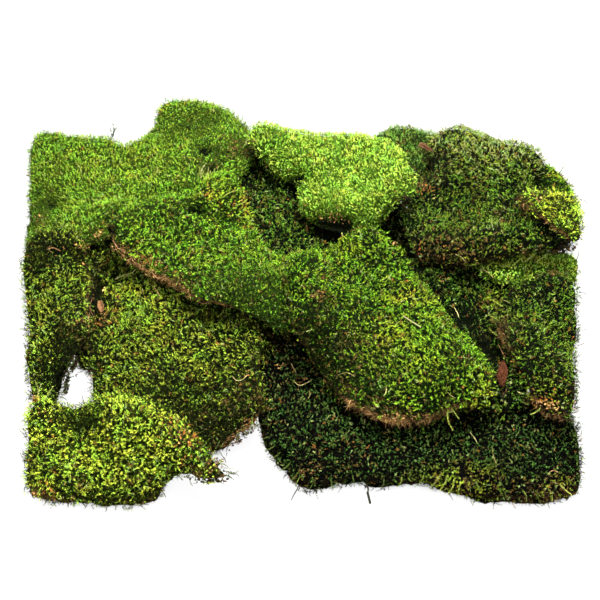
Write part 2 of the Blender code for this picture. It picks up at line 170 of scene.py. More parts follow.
# Nearly black painted shade in pits, creases and under overhanging rims
PIT_SHADE_COLOUR = (0.002, 0.003, 0.001)
PEAT_DARK = (0.005, 0.004, 0.002)
PEAT_BROWN = (0.095, 0.048, 0.020)
TORN_ORANGE = (0.820, 0.440, 0.150)
FELT_SHADE = 0.4                    # the felt's greens as a share of its leaves'

# Tones from dark to pale: the darkest colour, then for each next one where it starts, where it is full, and itself
LITTER_TONES = ((0.008, 0.006, 0.002), (0.05, 0.35, (0.110, 0.054, 0.015)), (0.3, 0.65, (0.360, 0.185, 0.060)),
                (0.6, 0.95, (0.820, 0.490, 0.190)))
SPRIG_TONES = ((0.020, 0.022, 0.008), (0.20, 0.55, (0.110, 0.170, 0.022)), (0.50, 0.85, (0.420, 0.500, 0.080)),
               (0.85, 1.15, (0.820, 0.800, 0.420)))

# Patches of another colour, each at a pixel of the photograph: column, row, half width and half depth in
# millimetres, and strength
PATCHES = {
    # partly paler moss and partly painted haze of back light on the far tops
    "pale": (
        (140, 165, 60, 34, 0.1), (480, 140, 60, 30, 0.16), (330, 135, 70, 22, 0.12), (204, 170, 4, 7, 0.5),
        (490, 148, 60, 30, 0.5), (510, 266, 60, 12, 0.14), (485, 143, 46, 20, 0.35), (515, 266, 60, 12, 0.14),
    ),
    # partly fresh yellow-green growth and partly painted light that lifts rims and strips lying in shade
    "fresh": (
        (125, 165, 46, 22, 0.4), (190, 120, 24, 16, 0.3), (204, 170, 4, 7, 1.0), (212, 191, 8, 12, 0.9),
        (242, 205, 9, 17, 0.8), (128, 292, 14, 10, 0.7), (150, 330, 40, 30, 0.25), (470, 265, 22, 5, 0.5),
        (535, 260, 16, 6, 0.8), (410, 296, 14, 8, 0.9), (385, 338, 18, 18, 0.8), (425, 360, 16, 14, 0.5),
        (487, 392, 12, 16, 0.8), (352, 245, 16, 8, 0.5), (538, 402, 16, 9, 0.8), (500, 300, 10, 20, 0.6),
        (457, 482, 22, 9, 1.0), (555, 485, 12, 6, 0.6), (110, 450, 40, 24, 0.5), (550, 172, 12, 5, 0.6),
        (570, 182, 12, 8, 0.5), (530, 262, 30, 6, 0.5), (528, 203, 14, 8, 0.7), (550, 215, 20, 16, 0.8),
        (480, 146, 50, 26, 0.4), (450, 265, 22, 8, 0.4),
    ),
    # partly dark dead moss over sunken pits, partly painted shade in creases, hollows and under overhanging rims
    "deep": (
        (40, 205, 16, 26, 0.5), (56, 247, 14, 7, 0.8), (118, 209, 7, 8, 1.0), (112, 216, 7, 9, 1.0),
        (106, 225, 7, 9, 1.0), (52, 200, 8, 9, 0.9), (38, 238, 12, 16, 0.6), (142, 199, 10, 6, 0.8),
        (195, 207, 12, 5, 0.9), (214, 167, 9, 6, 1.3), (204, 147, 6, 9, 1.2), (216, 150, 8, 8, 0.6),
        (228, 218, 12, 10, 0.3), (262, 325, 34, 40, 0.48), (325, 350, 30, 30, 0.4), (115, 260, 24, 16, 0.15),
        (92, 305, 7, 40, 0.9), (70, 352, 14, 20, 0.7), (60, 375, 12, 16, 0.8), (432, 165, 5, 14, 0.8),
        (537, 183, 8, 7, 0.9), (215, 430, 30, 20, 0.45), (185, 400, 46, 24, 0.42), (81, 424, 12, 10, 0.7),
        (316, 227, 20, 10, 1.0), (338, 225, 14, 8, 1.0), (190, 122, 28, 20, 0.68), (245, 280, 28, 20, 0.38),
        (462, 318, 14, 12, 0.7), (478, 345, 14, 10, 0.7), (493, 352, 6, 16, 1.0), (295, 177, 12, 7, 0.9),
        (332, 228, 22, 10, 1.2), (345, 382, 30, 14, 0.3),
    ),
    "dry": (
        (42, 218, 12, 10, 0.6), (155, 232, 8, 6, 0.5), (197, 231, 5, 5, 0.5), (150, 262, 22, 8, 0.5),
        (185, 286, 16, 8, 0.6), (208, 160, 14, 26, 0.5), (245, 148, 20, 14, 0.7), (290, 330, 30, 34, 0.4),
        (335, 350, 30, 24, 0.7), (175, 285, 24, 12, 0.5), (103, 322, 10, 14, 0.5), (76, 325, 12, 16, 0.5),
        (435, 248, 40, 16, 0.75), (424, 182, 14, 14, 0.6), (550, 272, 22, 5, 0.7), (319, 295, 12, 9, 0.8),
        (465, 358, 8, 7, 0.4), (502, 340, 9, 30, 0.6), (467, 480, 8, 8, 0.6), (322, 465, 26, 14, 0.3),
        (350, 455, 16, 10, 0.25), (305, 472, 20, 7, 0.5), (540, 490, 34, 10, 0.6), (245, 400, 22, 30, 0.6),
        (184, 438, 12, 13, 0.3), (210, 470, 26, 10, 0.6), (98, 232, 10, 8, 0.8), (325, 221, 18, 6, 0.5),
        (245, 280, 25, 20, 0.3), (440, 160, 20, 16, 0.3), (296, 345, 26, 26, 0.4), (480, 322, 6, 4, 0.5),
        (225, 422, 26, 20, 0.5), (332, 217, 16, 8, 0.5), (350, 376, 34, 16, 0.5),
    ),
    "rust": (
        (102, 220, 4, 5, 0.5), (150, 266, 20, 6, 0.3), (212, 191, 7, 11, 0.3), (242, 205, 8, 16, 0.25),
        (103, 322, 8, 12, 0.3), (425, 250, 20, 8, 0.2), (426, 187, 6, 4, 0.5), (548, 405, 14, 9, 0.4),
        (184, 438, 11, 12, 0.5), (169, 424, 6, 7, 0.4), (38, 492, 9, 7, 0.5), (36, 399, 5, 7, 0.6),
    ),
}

# Freshly torn margins, where pale rootlets show: column, row, reach in millimetres and strength
TORN = {
    "mat_left_centre": (
        (112, 243, 13, 0.9), (125, 254, 16, 1.0), (145, 267, 16, 1.0), (164, 279, 16, 1.0), (184, 290, 16, 0.7),
        (212, 305, 18, 0.4),
    ),
    "mat_centre": (
        (352, 412, 14, 0.7), (372, 420, 14, 0.9), (395, 423, 16, 1.0), (425, 420, 16, 0.6), (447, 416, 12, 0.5),
    ),
    "mat_middle_left": ((250, 424, 14, 0.35), (232, 441, 14, 0.25), (205, 452, 14, 0.15),),
    "mat_front_left": ((200, 478, 16, 0.1), (38, 497, 14, 0.5),),
    "mat_front": ((552, 496, 24, 0.15),),
    "mat_yellow": ((522, 212, 14, 0.6), (538, 226, 14, 0.6), (556, 240, 14, 0.5),),
    "mat_right": ((500, 345, 20, 0.5), (548, 412, 16, 0.45),),
    "mat_back_left": ((205, 168, 10, 0.5),),
    "mat_bright": ((328, 218, 10, 0.2),),
    "mat_left": ((92, 300, 24, 0.3),),
}

# Thin straws, roots and hairs lying on the moss: their dark and light tone, their slot, and each one's radius,
# height above the tips and pixels along it
STRANDS = {
    "straws": ((0.240, 0.190, 0.060), (0.740, 0.650, 0.290), "straw", (
        (0.4, 0.6, ((132, 275), (134, 272), (137, 269))), (0.36, 0.4, ((115, 280), (121, 277), (130, 274))),
        (0.36, 0.4, ((233, 377), (237, 381), (243, 380), (247, 376))),
        (0.42, 0.5, ((293, 381), (299, 386), (306, 384), (312, 380))),
        (0.36, 0.5, ((309, 391), (310, 395), (308, 399))), (0.5, 0.5, ((291, 364), (293, 368), (296, 373))),
        (0.3, 0.5, ((447, 392), (450, 395), (455, 398))), (0.36, 0.5, ((492, 447), (493, 455), (496, 464))),
        (0.38, 0.5, ((442, 472), (438, 479), (434, 485))), (0.3, 0.5, ((470, 433), (474, 438), (477, 443))),
        (0.36, 0.4, ((384, 396), (386, 392), (386, 388))), (0.3, 0.4, ((89, 322), (88, 318), (90, 314))),
        (0.26, 0.4, ((338, 375), (347, 373), (355, 377))), (0.3, 0.4, ((517, 392), (522, 394), (528, 395))),
        (0.3, 0.4, ((455, 254), (461, 257), (466, 262))), (0.3, 0.4, ((454, 308), (457, 313), (459, 318))),
        (0.26, 0.4, ((500, 300), (505, 301), (511, 304))),
    )),
    "roots": ((0.120, 0.050, 0.020), (0.560, 0.300, 0.150), "bark", (
        (0.36, 0.4, ((165, 280), (172, 286), (180, 293))), (0.4, 0.5, ((113, 240), (118, 248), (124, 250))),
        (0.36, 0.5, ((120, 248), (127, 253), (131, 259))), (0.4, 0.5, ((131, 256), (136, 263), (143, 264))),
        (0.34, 0.5, ((141, 261), (146, 269), (155, 271))), (0.38, 0.5, ((150, 268), (157, 277), (165, 277))),
        (0.34, 0.5, ((170, 278), (176, 288), (184, 287))), (0.36, 0.4, ((180, 296), (184, 291), (187, 284))),
        (0.36, 0.4, ((150, 284), (156, 290), (160, 297))), (0.34, 0.4, ((196, 300), (204, 303), (210, 302))),
        (0.6, 0.4, ((498, 345), (501, 351), (505, 359))), (0.34, 0.4, ((480, 270), (487, 272), (493, 278))),
        (0.5, 0.4, ((558, 421), (563, 419), (569, 420))), (0.44, 0.4, ((548, 474), (553, 471), (560, 474))),
        (0.5, 0.3, ((350, 232), (356, 229), (363, 226))), (0.4, 0.4, ((47, 250), (53, 248), (60, 251))),
        (0.3, 0.4, ((92, 300), (90, 308), (93, 316))), (0.3, 0.4, ((228, 150), (233, 154), (231, 160))),
    )),
    "root_hairs": ((0.030, 0.022, 0.016), (0.160, 0.110, 0.075), "dark_twig", (
        (0.6, 0.2, ((299, 485), (297, 490), (294, 495), (291, 501))),
        (0.5, 0.2, ((240, 433), (243, 436), (246, 439))), (0.45, 0.2, ((161, 489), (163, 493), (166, 498))),
        (0.95, 0.3, ((367, 484), (368, 489), (368, 494))),
    )),
}

# Crumbs, each group round a pixel: column, row, half width and half height in pixels, number, size and tone
CRUMBS = [
    (245, 148, 16, 9, 60, 1.3, 0.3), (82, 245, 8, 5, 24, 1.2, 0.55), (56, 249, 9, 4, 14, 1.2, 0.3),
    (40, 217, 7, 5, 16, 1.2, 0.45), (320, 296, 9, 6, 30, 1.3, 0.5), (331, 217, 12, 6, 44, 1.2, 0.4),
    (396, 245, 4, 3, 8, 1.2, 0.6), (438, 249, 28, 11, 60, 1.0, 0.22), (522, 250, 5, 6, 18, 1.2, 0.5),
    (540, 200, 5, 3, 12, 1.2, 0.75), (443, 279, 7, 5, 18, 1.3, 0.5), (552, 405, 7, 6, 30, 1.5, 0.65),
    (538, 402, 8, 5, 12, 1.2, 0.75), (394, 418, 14, 5, 60, 1.3, 0.65), (425, 417, 20, 4, 26, 1.0, 0.5),
    (460, 359, 7, 5, 12, 1.0, 0.5), (103, 320, 5, 7, 24, 1.1, 0.6), (79, 322, 5, 4, 14, 1.1, 0.45),
    (249, 373, 4, 3, 10, 1.1, 0.7), (280, 364, 6, 5, 12, 1.1, 0.6), (303, 379, 4, 3, 8, 1.1, 0.45),
    (250, 424, 8, 7, 40, 1.3, 0.52), (234, 441, 9, 5, 34, 1.3, 0.45), (184, 438, 8, 9, 34, 1.2, 0.6),
    (169, 424, 4, 5, 12, 1.1, 0.5), (147, 455, 3, 2, 6, 1.1, 0.5), (129, 465, 5, 2, 10, 1.0, 0.5),
    (72, 478, 4, 2, 6, 1.0, 0.5), (38, 492, 6, 4, 20, 1.2, 0.5), (42, 413, 4, 2, 6, 1.1, 0.5),
    (36, 399, 3, 4, 12, 1.2, 0.6), (425, 187, 6, 4, 22, 1.1, 0.5), (424, 178, 11, 10, 30, 1.0, 0.25),
    (298, 252, 4, 2, 8, 1.1, 0.65), (467, 480, 5, 4, 14, 1.1, 0.45), (540, 488, 20, 7, 30, 1.1, 0.25),
    (98, 234, 5, 4, 22, 1.2, 0.6), (308, 470, 14, 7, 40, 1.1, 0.35), (114, 249, 5, 3, 16, 1.2, 0.8),
    (133, 261, 6, 4, 22, 1.2, 0.8), (152, 273, 6, 4, 22, 1.2, 0.75), (171, 284, 7, 4, 20, 1.2, 0.65),
    (188, 292, 8, 5, 20, 1.1, 0.55), (434, 197, 2, 2, 3, 1.2, 1.1), (496, 186, 1, 1, 1, 1.0, 1.1),
    (94, 290, 3, 14, 26, 1.2, 0.25), (91, 320, 4, 12, 26, 1.2, 0.35), (84, 264, 1, 1, 2, 1.8, 0.95),
    (104, 288, 5, 3, 5, 1.4, 0.9), (233, 472, 8, 4, 8, 1.0, 0.2), (222, 462, 5, 5, 14, 1.1, 0.5),
    (206, 480, 12, 3, 44, 1.9, 0.15), (222, 477, 8, 5, 34, 1.9, 0.22), (231, 474, 9, 4, 10, 1.0, 0.15),
    (214, 463, 8, 5, 26, 1.6, 0.35), (405, 202, 5, 6, 120, 2.4, 0.05), (75, 361, 3, 6, 50, 2.0, 0.1),
    (420, 257, 3, 2, 16, 1.8, 0.12), (556, 251, 8, 2, 36, 2.0, 0.15), (528, 400, 3, 5, 60, 2.0, 0.1),
    (567, 248, 9, 4, 90, 1.7, 0.2), (66, 382, 3, 12, 80, 2.0, 0.08), (72, 366, 3, 5, 36, 2.0, 0.08),
    (247, 430, 7, 5, 56, 1.4, 0.4), (235, 439, 8, 5, 50, 1.4, 0.38), (242, 434, 9, 5, 40, 1.4, 0.28),
    (227, 446, 6, 4, 20, 1.3, 0.3), (150, 262, 14, 5, 50, 1.2, 0.55), (125, 250, 8, 4, 30, 1.2, 0.5),
    (180, 284, 12, 5, 40, 1.2, 0.45), (504, 392, 5, 6, 20, 1.6, 0.1), (189, 478, 2, 2, 3, 1.8, 0.1),
    (337, 462, 1, 1, 1, 1.5, 0.95), (76, 376, 1, 2, 2, 1.4, 0.2), (213, 168, 6, 5, 18, 1.2, 0.2),
    (220, 156, 8, 10, 30, 1.1, 0.25), (347, 222, 5, 3, 8, 1.1, 0.45), (505, 385, 4, 6, 16, 1.2, 0.3),
    (523, 212, 7, 5, 22, 1.1, 0.35), (200, 470, 12, 5, 26, 1.1, 0.5), (232, 205, 4, 3, 6, 1.1, 0.6),
    (300, 380, 16, 12, 22, 1.0, 0.4), (290, 335, 20, 16, 30, 1.0, 0.35),
]

# Leafy sprigs: pixels of their foot and tip, length of a leaf in millimetres, and tone from dark to pale
SPRIGS = [
    (112, 138, 113, 122, 3.4, 0.35), (112, 140, 110, 126, 2.8, 0.35), (112, 138, 117, 127, 2.8, 0.4),
    (244, 146, 254, 130, 2.2, 0.95), (246, 144, 249, 133, 1.8, 0.9), (249, 147, 258, 137, 1.8, 0.75),
    (270, 141, 271, 122, 1.5, 0.4), (273, 141, 277, 130, 1.8, 0.45), (268, 140, 266, 131, 1.6, 0.8),
    (201, 179, 206, 163, 2.2, 0.95), (204, 180, 209, 168, 2.0, 0.9), (198, 176, 200, 166, 1.8, 0.8),
    (36, 398, 35, 382, 1.9, 0.8), (38, 398, 41, 386, 1.6, 0.9), (44, 399, 52, 388, 1.8, 0.85),
    (46, 401, 49, 392, 1.5, 0.75), (33, 396, 31, 387, 1.6, 0.6), (55, 405, 62, 399, 1.5, 0.6),
    (526, 154, 529, 144, 1.8, 0.4), (544, 166, 548, 157, 1.8, 0.45), (560, 172, 564, 165, 1.6, 0.55),
    (486, 268, 499, 259, 1.8, 0.7), (500, 266, 512, 262, 1.8, 0.6), (512, 266, 524, 257, 1.8, 0.8),
    (524, 262, 535, 254, 1.8, 0.85), (536, 262, 547, 255, 1.8, 0.8), (545, 264, 556, 260, 1.6, 0.65),
    (455, 262, 462, 253, 1.6, 0.5), (470, 266, 478, 262, 1.6, 0.65), (478, 274, 492, 278, 1.8, 0.35),
    (200, 470, 196, 479, 1.8, 0.3), (206, 470, 204, 482, 1.8, 0.45), (212, 470, 214, 482, 1.7, 0.25),
    (214, 466, 222, 475, 1.7, 0.3), (216, 462, 226, 466, 1.7, 0.4), (222, 470, 232, 474, 1.6, 0.3),
    (228, 473, 238, 471, 1.5, 0.45), (192, 468, 188, 477, 1.6, 0.3), (184, 468, 180, 474, 1.6, 0.45),
    (210, 458, 214, 452, 1.5, 0.6), (226, 462, 222, 456, 1.4, 0.25), (165, 474, 160, 484, 1.6, 0.5),
    (448, 474, 441, 489, 1.9, 0.7), (454, 478, 449, 492, 1.9, 0.75), (461, 480, 459, 494, 1.8, 0.6),
    (468, 480, 470, 491, 1.8, 0.45), (440, 474, 432, 486, 1.7, 0.55), (424, 474, 416, 486, 1.6, 0.5),
    (402, 476, 398, 486, 1.6, 0.55), (384, 478, 382, 487, 1.5, 0.3), (476, 482, 480, 492, 1.6, 0.5),
    (300, 470, 291, 481, 1.6, 0.4), (304, 474, 297, 485, 1.6, 0.55), (312, 476, 310, 488, 1.6, 0.35),
    (290, 462, 281, 470, 1.6, 0.4), (280, 452, 271, 459, 1.6, 0.35), (270, 436, 262, 440, 1.6, 0.3),
    (268, 424, 260, 425, 1.5, 0.3), (274, 446, 265, 450, 1.5, 0.45), (330, 478, 332, 489, 1.5, 0.35),
    (352, 474, 354, 485, 1.5, 0.35), (500, 488, 506, 498, 1.7, 0.4), (522, 490, 526, 500, 1.6, 0.5),
    (548, 488, 552, 499, 1.7, 0.65), (560, 484, 570, 494, 1.7, 0.8), (536, 490, 540, 502, 1.6, 0.4),
    (448, 410, 452, 428, 1.8, 0.7), (452, 408, 458, 418, 1.6, 0.6), (400, 414, 398, 424, 1.6, 0.6),
    (232, 434, 226, 442, 1.6, 0.5), (244, 424, 238, 434, 1.6, 0.45), (252, 416, 254, 427, 1.6, 0.55),
    (206, 444, 200, 452, 1.5, 0.35), (220, 440, 216, 448, 1.5, 0.35), (132, 272, 118, 282, 1.5, 0.75),
    (222, 198, 238, 190, 1.6, 0.8), (236, 206, 246, 202, 1.6, 0.7), (236, 214, 246, 218, 1.6, 0.65),
    (503, 306, 492, 300, 1.6, 0.75), (500, 322, 490, 316, 1.6, 0.65), (498, 336, 490, 330, 1.6, 0.6),
    (69, 372, 77, 367, 1.8, 0.25), (66, 380, 73, 377, 1.8, 0.3), (62, 389, 69, 387, 1.8, 0.25),
    (59, 397, 66, 400, 1.8, 0.35), (58, 390, 64, 395, 1.6, 0.25), (84, 404, 82, 396, 1.5, 0.45),
    (553, 257, 557, 245, 1.8, 0.35), (560, 257, 563, 245, 1.9, 0.45), (566, 258, 568, 246, 1.9, 0.3),
    (571, 259, 573, 247, 1.8, 0.4), (545, 256, 550, 248, 1.8, 0.3), (575, 262, 579, 252, 1.7, 0.5),
    (410, 207, 402, 198, 2.0, 0.25), (412, 200, 404, 193, 1.8, 0.3), (399, 209, 407, 202, 1.8, 0.2),
    (414, 205, 407, 200, 1.8, 0.35), (64, 376, 71, 371, 2.4, 0.3), (62, 384, 69, 381, 2.4, 0.25),
    (60, 392, 67, 391, 2.4, 0.3), (66, 370, 73, 364, 2.4, 0.3), (67, 365, 75, 360, 2.4, 0.3),
    (61, 388, 68, 386, 2.4, 0.2), (257, 418, 258, 427, 2.0, 0.35), (247, 424, 246, 433, 2.0, 0.35),
    (239, 431, 237, 440, 2.0, 0.3), (230, 438, 228, 446, 2.0, 0.35), (252, 420, 250, 430, 2.0, 0.45),
    (224, 442, 220, 449, 2.0, 0.3), (222, 474, 230, 478, 1.6, 0.35), (228, 472, 237, 475, 1.5, 0.3),
    (224, 468, 232, 469, 1.5, 0.45), (218, 478, 224, 484, 1.6, 0.3), (226, 476, 233, 480, 1.4, 0.25),
    (526, 402, 516, 392, 1.6, 0.7), (530, 404, 520, 400, 1.8, 0.85), (540, 408, 532, 414, 1.6, 0.8),
]


# Node helpers


def add_node(tree, kind, inputs=None, **settings):
    """A node with its settings, and each input either a value or linked from a socket."""
    made = tree.nodes.new(kind)
    for key, value in settings.items():
        setattr(made, key, value)
    for key, value in (inputs or {}).items():
        if isinstance(value, bpy.types.NodeSocket):
            tree.links.new(value, made.inputs[key])
        else:
            made.inputs[key].default_value = value
    return made


def math_node(tree, operation, first, second=0.0, clamp=False):
    return add_node(tree, "ShaderNodeMath", {0: first, 1: second}, operation=operation, use_clamp=clamp).outputs[0]


def add_scaled(tree, value, source, amount):
    return math_node(tree, "ADD", value, math_node(tree, "MULTIPLY", source, amount))


def varied(tree, value, *sources):
    """A value, with each source from 0 to 1 moving it by up to half its amount either way."""
    for source, amount in sources:
        offset = math_node(tree, "MULTIPLY", math_node(tree, "SUBTRACT", source, 0.5), amount)
        value = math_node(tree, "ADD", value, offset)
    return value


def colour_mix(tree, factor, first, second, blend="MIX"):
    inputs = {0: factor, 6: first, 7: second}
    for key, value in inputs.items():
        if isinstance(value, tuple):
            inputs[key] = (*value, 1.0)
    return add_node(tree, "ShaderNodeMix", inputs, data_type="RGBA", blend_type=blend, clamp_factor=True).outputs[2]


def smooth_step(tree, value, low, high):
    """0 below low, 1 above high, and smooth between."""
    made = add_node(tree, "ShaderNodeMapRange", {"Value": value, "From Min": low, "From Max": high},
                    interpolation_type="SMOOTHSTEP")
    return made.outputs[0]


def tone_ramp(tree, tone, colour, *steps):
    """A colour, and over it each further one where the tone rises from the step's start to its end."""
    for start, end, further in steps:
        colour = colour_mix(tree, smooth_step(tree, tone, start, end), colour, further)
    return colour


def attribute(tree, name):
    return add_node(tree, "ShaderNodeAttribute", attribute_name=name).outputs["Fac"]


def mottle(tree, size_mm, detail=2.0, roughness=0.5):
    """Noise in the object's own coordinates, with spots about size_mm apart."""
    place = add_node(tree, "ShaderNodeTexCoord").outputs["Object"]
    made = add_node(tree, "ShaderNodeTexNoise",
                    {"Vector": place, "Scale": 1.0 / (size_mm * MM), "Detail": detail, "Roughness": roughness})
    return made.outputs["Fac"]


def roughen(tree, shader, height, strength, depth_mm):
    bump = add_node(tree, "ShaderNodeBump", {"Height": height, "Strength": strength, "Distance": depth_mm * MM})
    tree.links.new(bump.outputs[0], shader.inputs["Normal"])


# Materials


def new_material(name, roughness, specular):
    mat = bpy.data.materials.new(name)
    mat.use_nodes = True
    shader = mat.node_tree.nodes["Principled BSDF"]
    shader.inputs["Roughness"].default_value = roughness
    shader.inputs["Specular IOR Level"].default_value = specular
    return mat, mat.node_tree, shader


def leaf_tint_group():
    """Colour of the moss leaves: dark low down and light at the tips, darker again as painted shade in deep places,
    with dry and rusty shoots, pale ones that partly stand for painted glints and haze, and fresh ones that are partly
    painted light.
    """
    tree = bpy.data.node_groups.new("leaf_tint", "ShaderNodeTree")
    for label in LEAF_TONES:
        tree.interface.new_socket(label, in_out="INPUT", socket_type="NodeSocketColor")
    tree.interface.new_socket("colour", in_out="OUTPUT", socket_type="NodeSocketColor")
    given = tree.nodes.new("NodeGroupInput").outputs
    result = tree.nodes.new("NodeGroupOutput")
    deep, fresh, chance = (attribute(tree, name) for name in ("deep", "fresh", "chance"))
    spreads = [(attribute(tree, name), amount) for name, amount in LIGHTNESS_SPREADS.items()]
    spreads.append((mottle(tree, LIGHTNESS_SIZE, detail=3.0, roughness=0.6), MOTTLE_SPREAD))
    height = varied(tree, attribute(tree, "tip"), *spreads)
    # Painted shade pulls leaves in deep places towards the dark colour; the fresh patches, partly painted light, lift
    # them towards the tips
    height = add_scaled(tree, add_scaled(tree, height, deep, DEEP_SHIFT), fresh, FRESH_AND_LIT_SHIFT)
    colour = tone_ramp(tree, height, given["deep"], (0.30, 0.62, given["body"]), (0.56, 1.12, given["tip"]))
    lit = smooth_step(tree, height, 0.25, 0.85)
    colour = colour_mix(tree, math_node(tree, "MULTIPLY", fresh, lit), colour, given["fresh"])
    other_end = math_node(tree, "SUBTRACT", 1.0, chance)
    # Pale leaves stand partly for painted glints and haze; dry and rusty ones are the moss's own colour
    for label, start, end, lot in (("pale", 0.0, 0.6, other_end), ("dry", 0.15, 0.85, chance),
                                   ("rust", 0.05, 0.70, chance)):
        share = math_node(tree, "SUBTRACT", attribute(tree, label), lot)
        toned = tone_ramp(tree, height, given["deep"], (start, end, given[label]))
        colour = tone_ramp(tree, share, colour, (-0.03, 0.03, toned))
    shift = smooth_step(tree, mottle(tree, HUE_SIZE, detail=3.0, roughness=0.7), 0.40, 0.60)
    colour = colour_mix(tree, 1.0, colour, colour_mix(tree, shift, GREENER, BROWNER), "MULTIPLY")
    # Painted shade: the deepest places turn nearly black
    pit = math_node(tree, "MULTIPLY", smooth_step(tree, deep, 0.50, 0.95), PIT_SHADE_STRENGTH)
    tree.links.new(colour_mix(tree, pit, colour, PIT_SHADE_COLOUR), result.inputs["colour"])
    return tree


def moss_material(kind, tint):
    mat, tree, shader = new_material("moss_" + kind, roughness=0.45, specular=MOSSES[kind]["gloss"])
    tinted = add_node(tree, "ShaderNodeGroup", node_tree=tint)
    colours = {**MOSSES[kind], **ODD_LEAVES}
    for label in LEAF_TONES:
        tinted.inputs[label].default_value = (*colours[label], 1.0)
    tree.links.new(tinted.outputs["colour"], shader.inputs["Base Color"])
    return mat


def felt_material(kind):
    """The mat's body: dark stems and peat, browner towards its torn edges, and painted nearly black as shade where it
    lies deep.
    """
    mat, tree, shader = new_material("felt_" + kind, roughness=0.95, specular=0.03)
    fine = mottle(tree, FELT_GRAIN, detail=3.0, roughness=0.7)
    coarse = mottle(tree, FELT_PATCH, detail=3.0, roughness=0.6)
    deep, body = (tuple(FELT_SHADE * part for part in MOSSES[kind][label]) for label in ("deep", "body"))
    ground = tone_ramp(tree, fine, PEAT_DARK, (0.35, 0.55, deep), (0.52, 0.70, body))
    torn = tone_ramp(tree, fine, PEAT_BROWN, (0.42, 0.62, TORN_ORANGE))
    torn = tone_ramp(tree, coarse, torn, (0.62, 0.40, PEAT_BROWN))
    torn = tone_ramp(tree, fine, torn, (0.46, 0.30, PEAT_DARK))
    edge = math_node(tree, "MULTIPLY", attribute(tree, "torn"), smooth_step(tree, coarse, 0.3, 0.5))
    worn = math_node(tree, "ADD", 0.05, attribute(tree, "fray"))
    colour = colour_mix(tree, math_node(tree, "MULTIPLY", edge, worn, clamp=True), ground, torn)
    # Painted shade: nearly black where the felt lies deep
    colour = tone_ramp(tree, attribute(tree, "deep"), colour, (0.45, 0.85, PIT_SHADE_COLOUR))
    tree.links.new(colour, shader.inputs["Base Color"])
    roughen(tree, shader, fine, strength=0.9, depth_mm=1.2)
    return mat


def stem_material(name, dark, light, size_mm):
    """Fibres, bark and dead leaf: two tones in fine streaks, varied from piece to piece."""
    mat, tree, shader = new_material(name, roughness=0.75, specular=0.06)
    streak = mottle(tree, size_mm, detail=3.0, roughness=0.65)
    tone = add_scaled(tree, streak, attribute(tree, "tone"), 0.4)
    tree.links.new(tone_ramp(tree, tone, dark, (0.32, 0.72, light)), shader.inputs["Base Color"])
    roughen(tree, shader, streak, strength=0.6, depth_mm=0.5)
    return mat


def fibre_material():
    """Rootlets: nearly black brown in most places, rust and pale tan where the mat is freshly torn."""
    mat, tree, shader = new_material("rootlets", roughness=0.6, specular=0.12)
    worn = math_node(tree, "MULTIPLY", attribute(tree, "fray"), 0.66)
    tone = varied(tree, worn, (attribute(tree, "rnd"), 0.8), (mottle(tree, 6.0), 1.1))
    tree.links.new(tone_ramp(tree, tone, *LITTER_TONES), shader.inputs["Base Color"])
    return mat


def crumb_material():
    """Crumbs of bark, peat and dead leaf, each in a tone of its own."""
    mat, tree, shader = new_material("crumbs", roughness=0.8, specular=0.10)
    tone = varied(tree, attribute(tree, "tone"), (mottle(tree, 1.2), 0.5))
    tone = math_node(tree, "SUBTRACT", tone, 0.12)
    tree.links.new(tone_ramp(tree, tone, *LITTER_TONES), shader.inputs["Base Color"])
    return mat


def sprig_material():
    """Leaves from nearly black green by way of olive to pale cream, darker where they leave the stem."""
    mat, tree, shader = new_material("sprigs", roughness=0.55, specular=0.15)
    tone = varied(tree, attribute(tree, "tone"), (mottle(tree, 2.0), 0.35))
    tone = add_scaled(tree, tone, attribute(tree, "tip"), 0.14)
    tree.links.new(tone_ramp(tree, tone, *SPRIG_TONES), shader.inputs["Base Color"])
    return mat


# Camera geometry


def camera_axes():
    tilt = math.radians(CAMERA_ELEVATION)
    back = Vector((0.0, -math.cos(tilt), math.sin(tilt)))
    right = Vector((1.0, 0.0, 0.0))
    return right, back.cross(right), back


def pixel_ray(u, v):
    """Where the camera stands and the direction in which it sees a pixel of the photograph."""
    right, up, back = camera_axes()
    eye = (CAMERA_TARGET + back * CAMERA_DISTANCE) * MM
    across = (u / IMAGE - 0.5) * FIELD_WIDTH
    down = (0.5 - v / IMAGE) * FIELD_WIDTH
    direction = -back * CAMERA_DISTANCE + right * across + up * down
    return eye, direction.normalized()


def seen_at(u, v, heap):
    """The mat, place and surface normal that the camera sees at a pixel, or the ground beside the mats."""
    eye, direction = pixel_ray(u, v)
    best = (None, eye - direction * (eye.z / direction.z), Vector((0.0, 0.0, 1.0)))
    nearest = 1e9
    for node, search in heap.items():
        place, normal, _, distance = search.ray_cast(eye, direction)
        if place is not None and distance < nearest:
            best, nearest = (node, place, normal), distance
    return best


# Mesh helpers


def placed(name, data):
    """A new object in the scene."""
    made = bpy.data.objects.new(name, data)
    bpy.context.scene.collection.objects.link(made)
    return made


def layered(*names):
    """An empty bmesh, and for each name a layer of numbers at its corners."""
    bm = bmesh.new()
    return bm, {name: bm.verts.layers.float.new(name) for name in names}


def plain_mesh(bm, name):
    mesh = bpy.data.meshes.new(name)
    bm.to_mesh(mesh)
    bm.free()
    return mesh


def places_of(mesh):
    """The corners' coordinates, one after the other."""
    points = np.zeros(len(mesh.vertices) * 3, np.float32)
    mesh.vertices.foreach_get("co", points)
    return points


def keep_off_ground(mesh):
    """Lifts the leaves that would pass through the ground."""
    points = places_of(mesh)
    points[2::3] = np.maximum(points[2::3], GROUND_GAP * MM)
    mesh.vertices.foreach_set("co", points)
    mesh.update()


def put_attribute(mesh, name, values):
    made = mesh.attributes.new(name, "FLOAT", "POINT")
    made.data.foreach_set("value", np.asarray(values, np.float32))


def read_attribute(mesh, name):
    values = np.zeros(len(mesh.vertices), np.float32)
    mesh.attributes[name].data.foreach_get("value", values)
    return values


def clamped(value):
    return min(1.0, max(0.0, value))


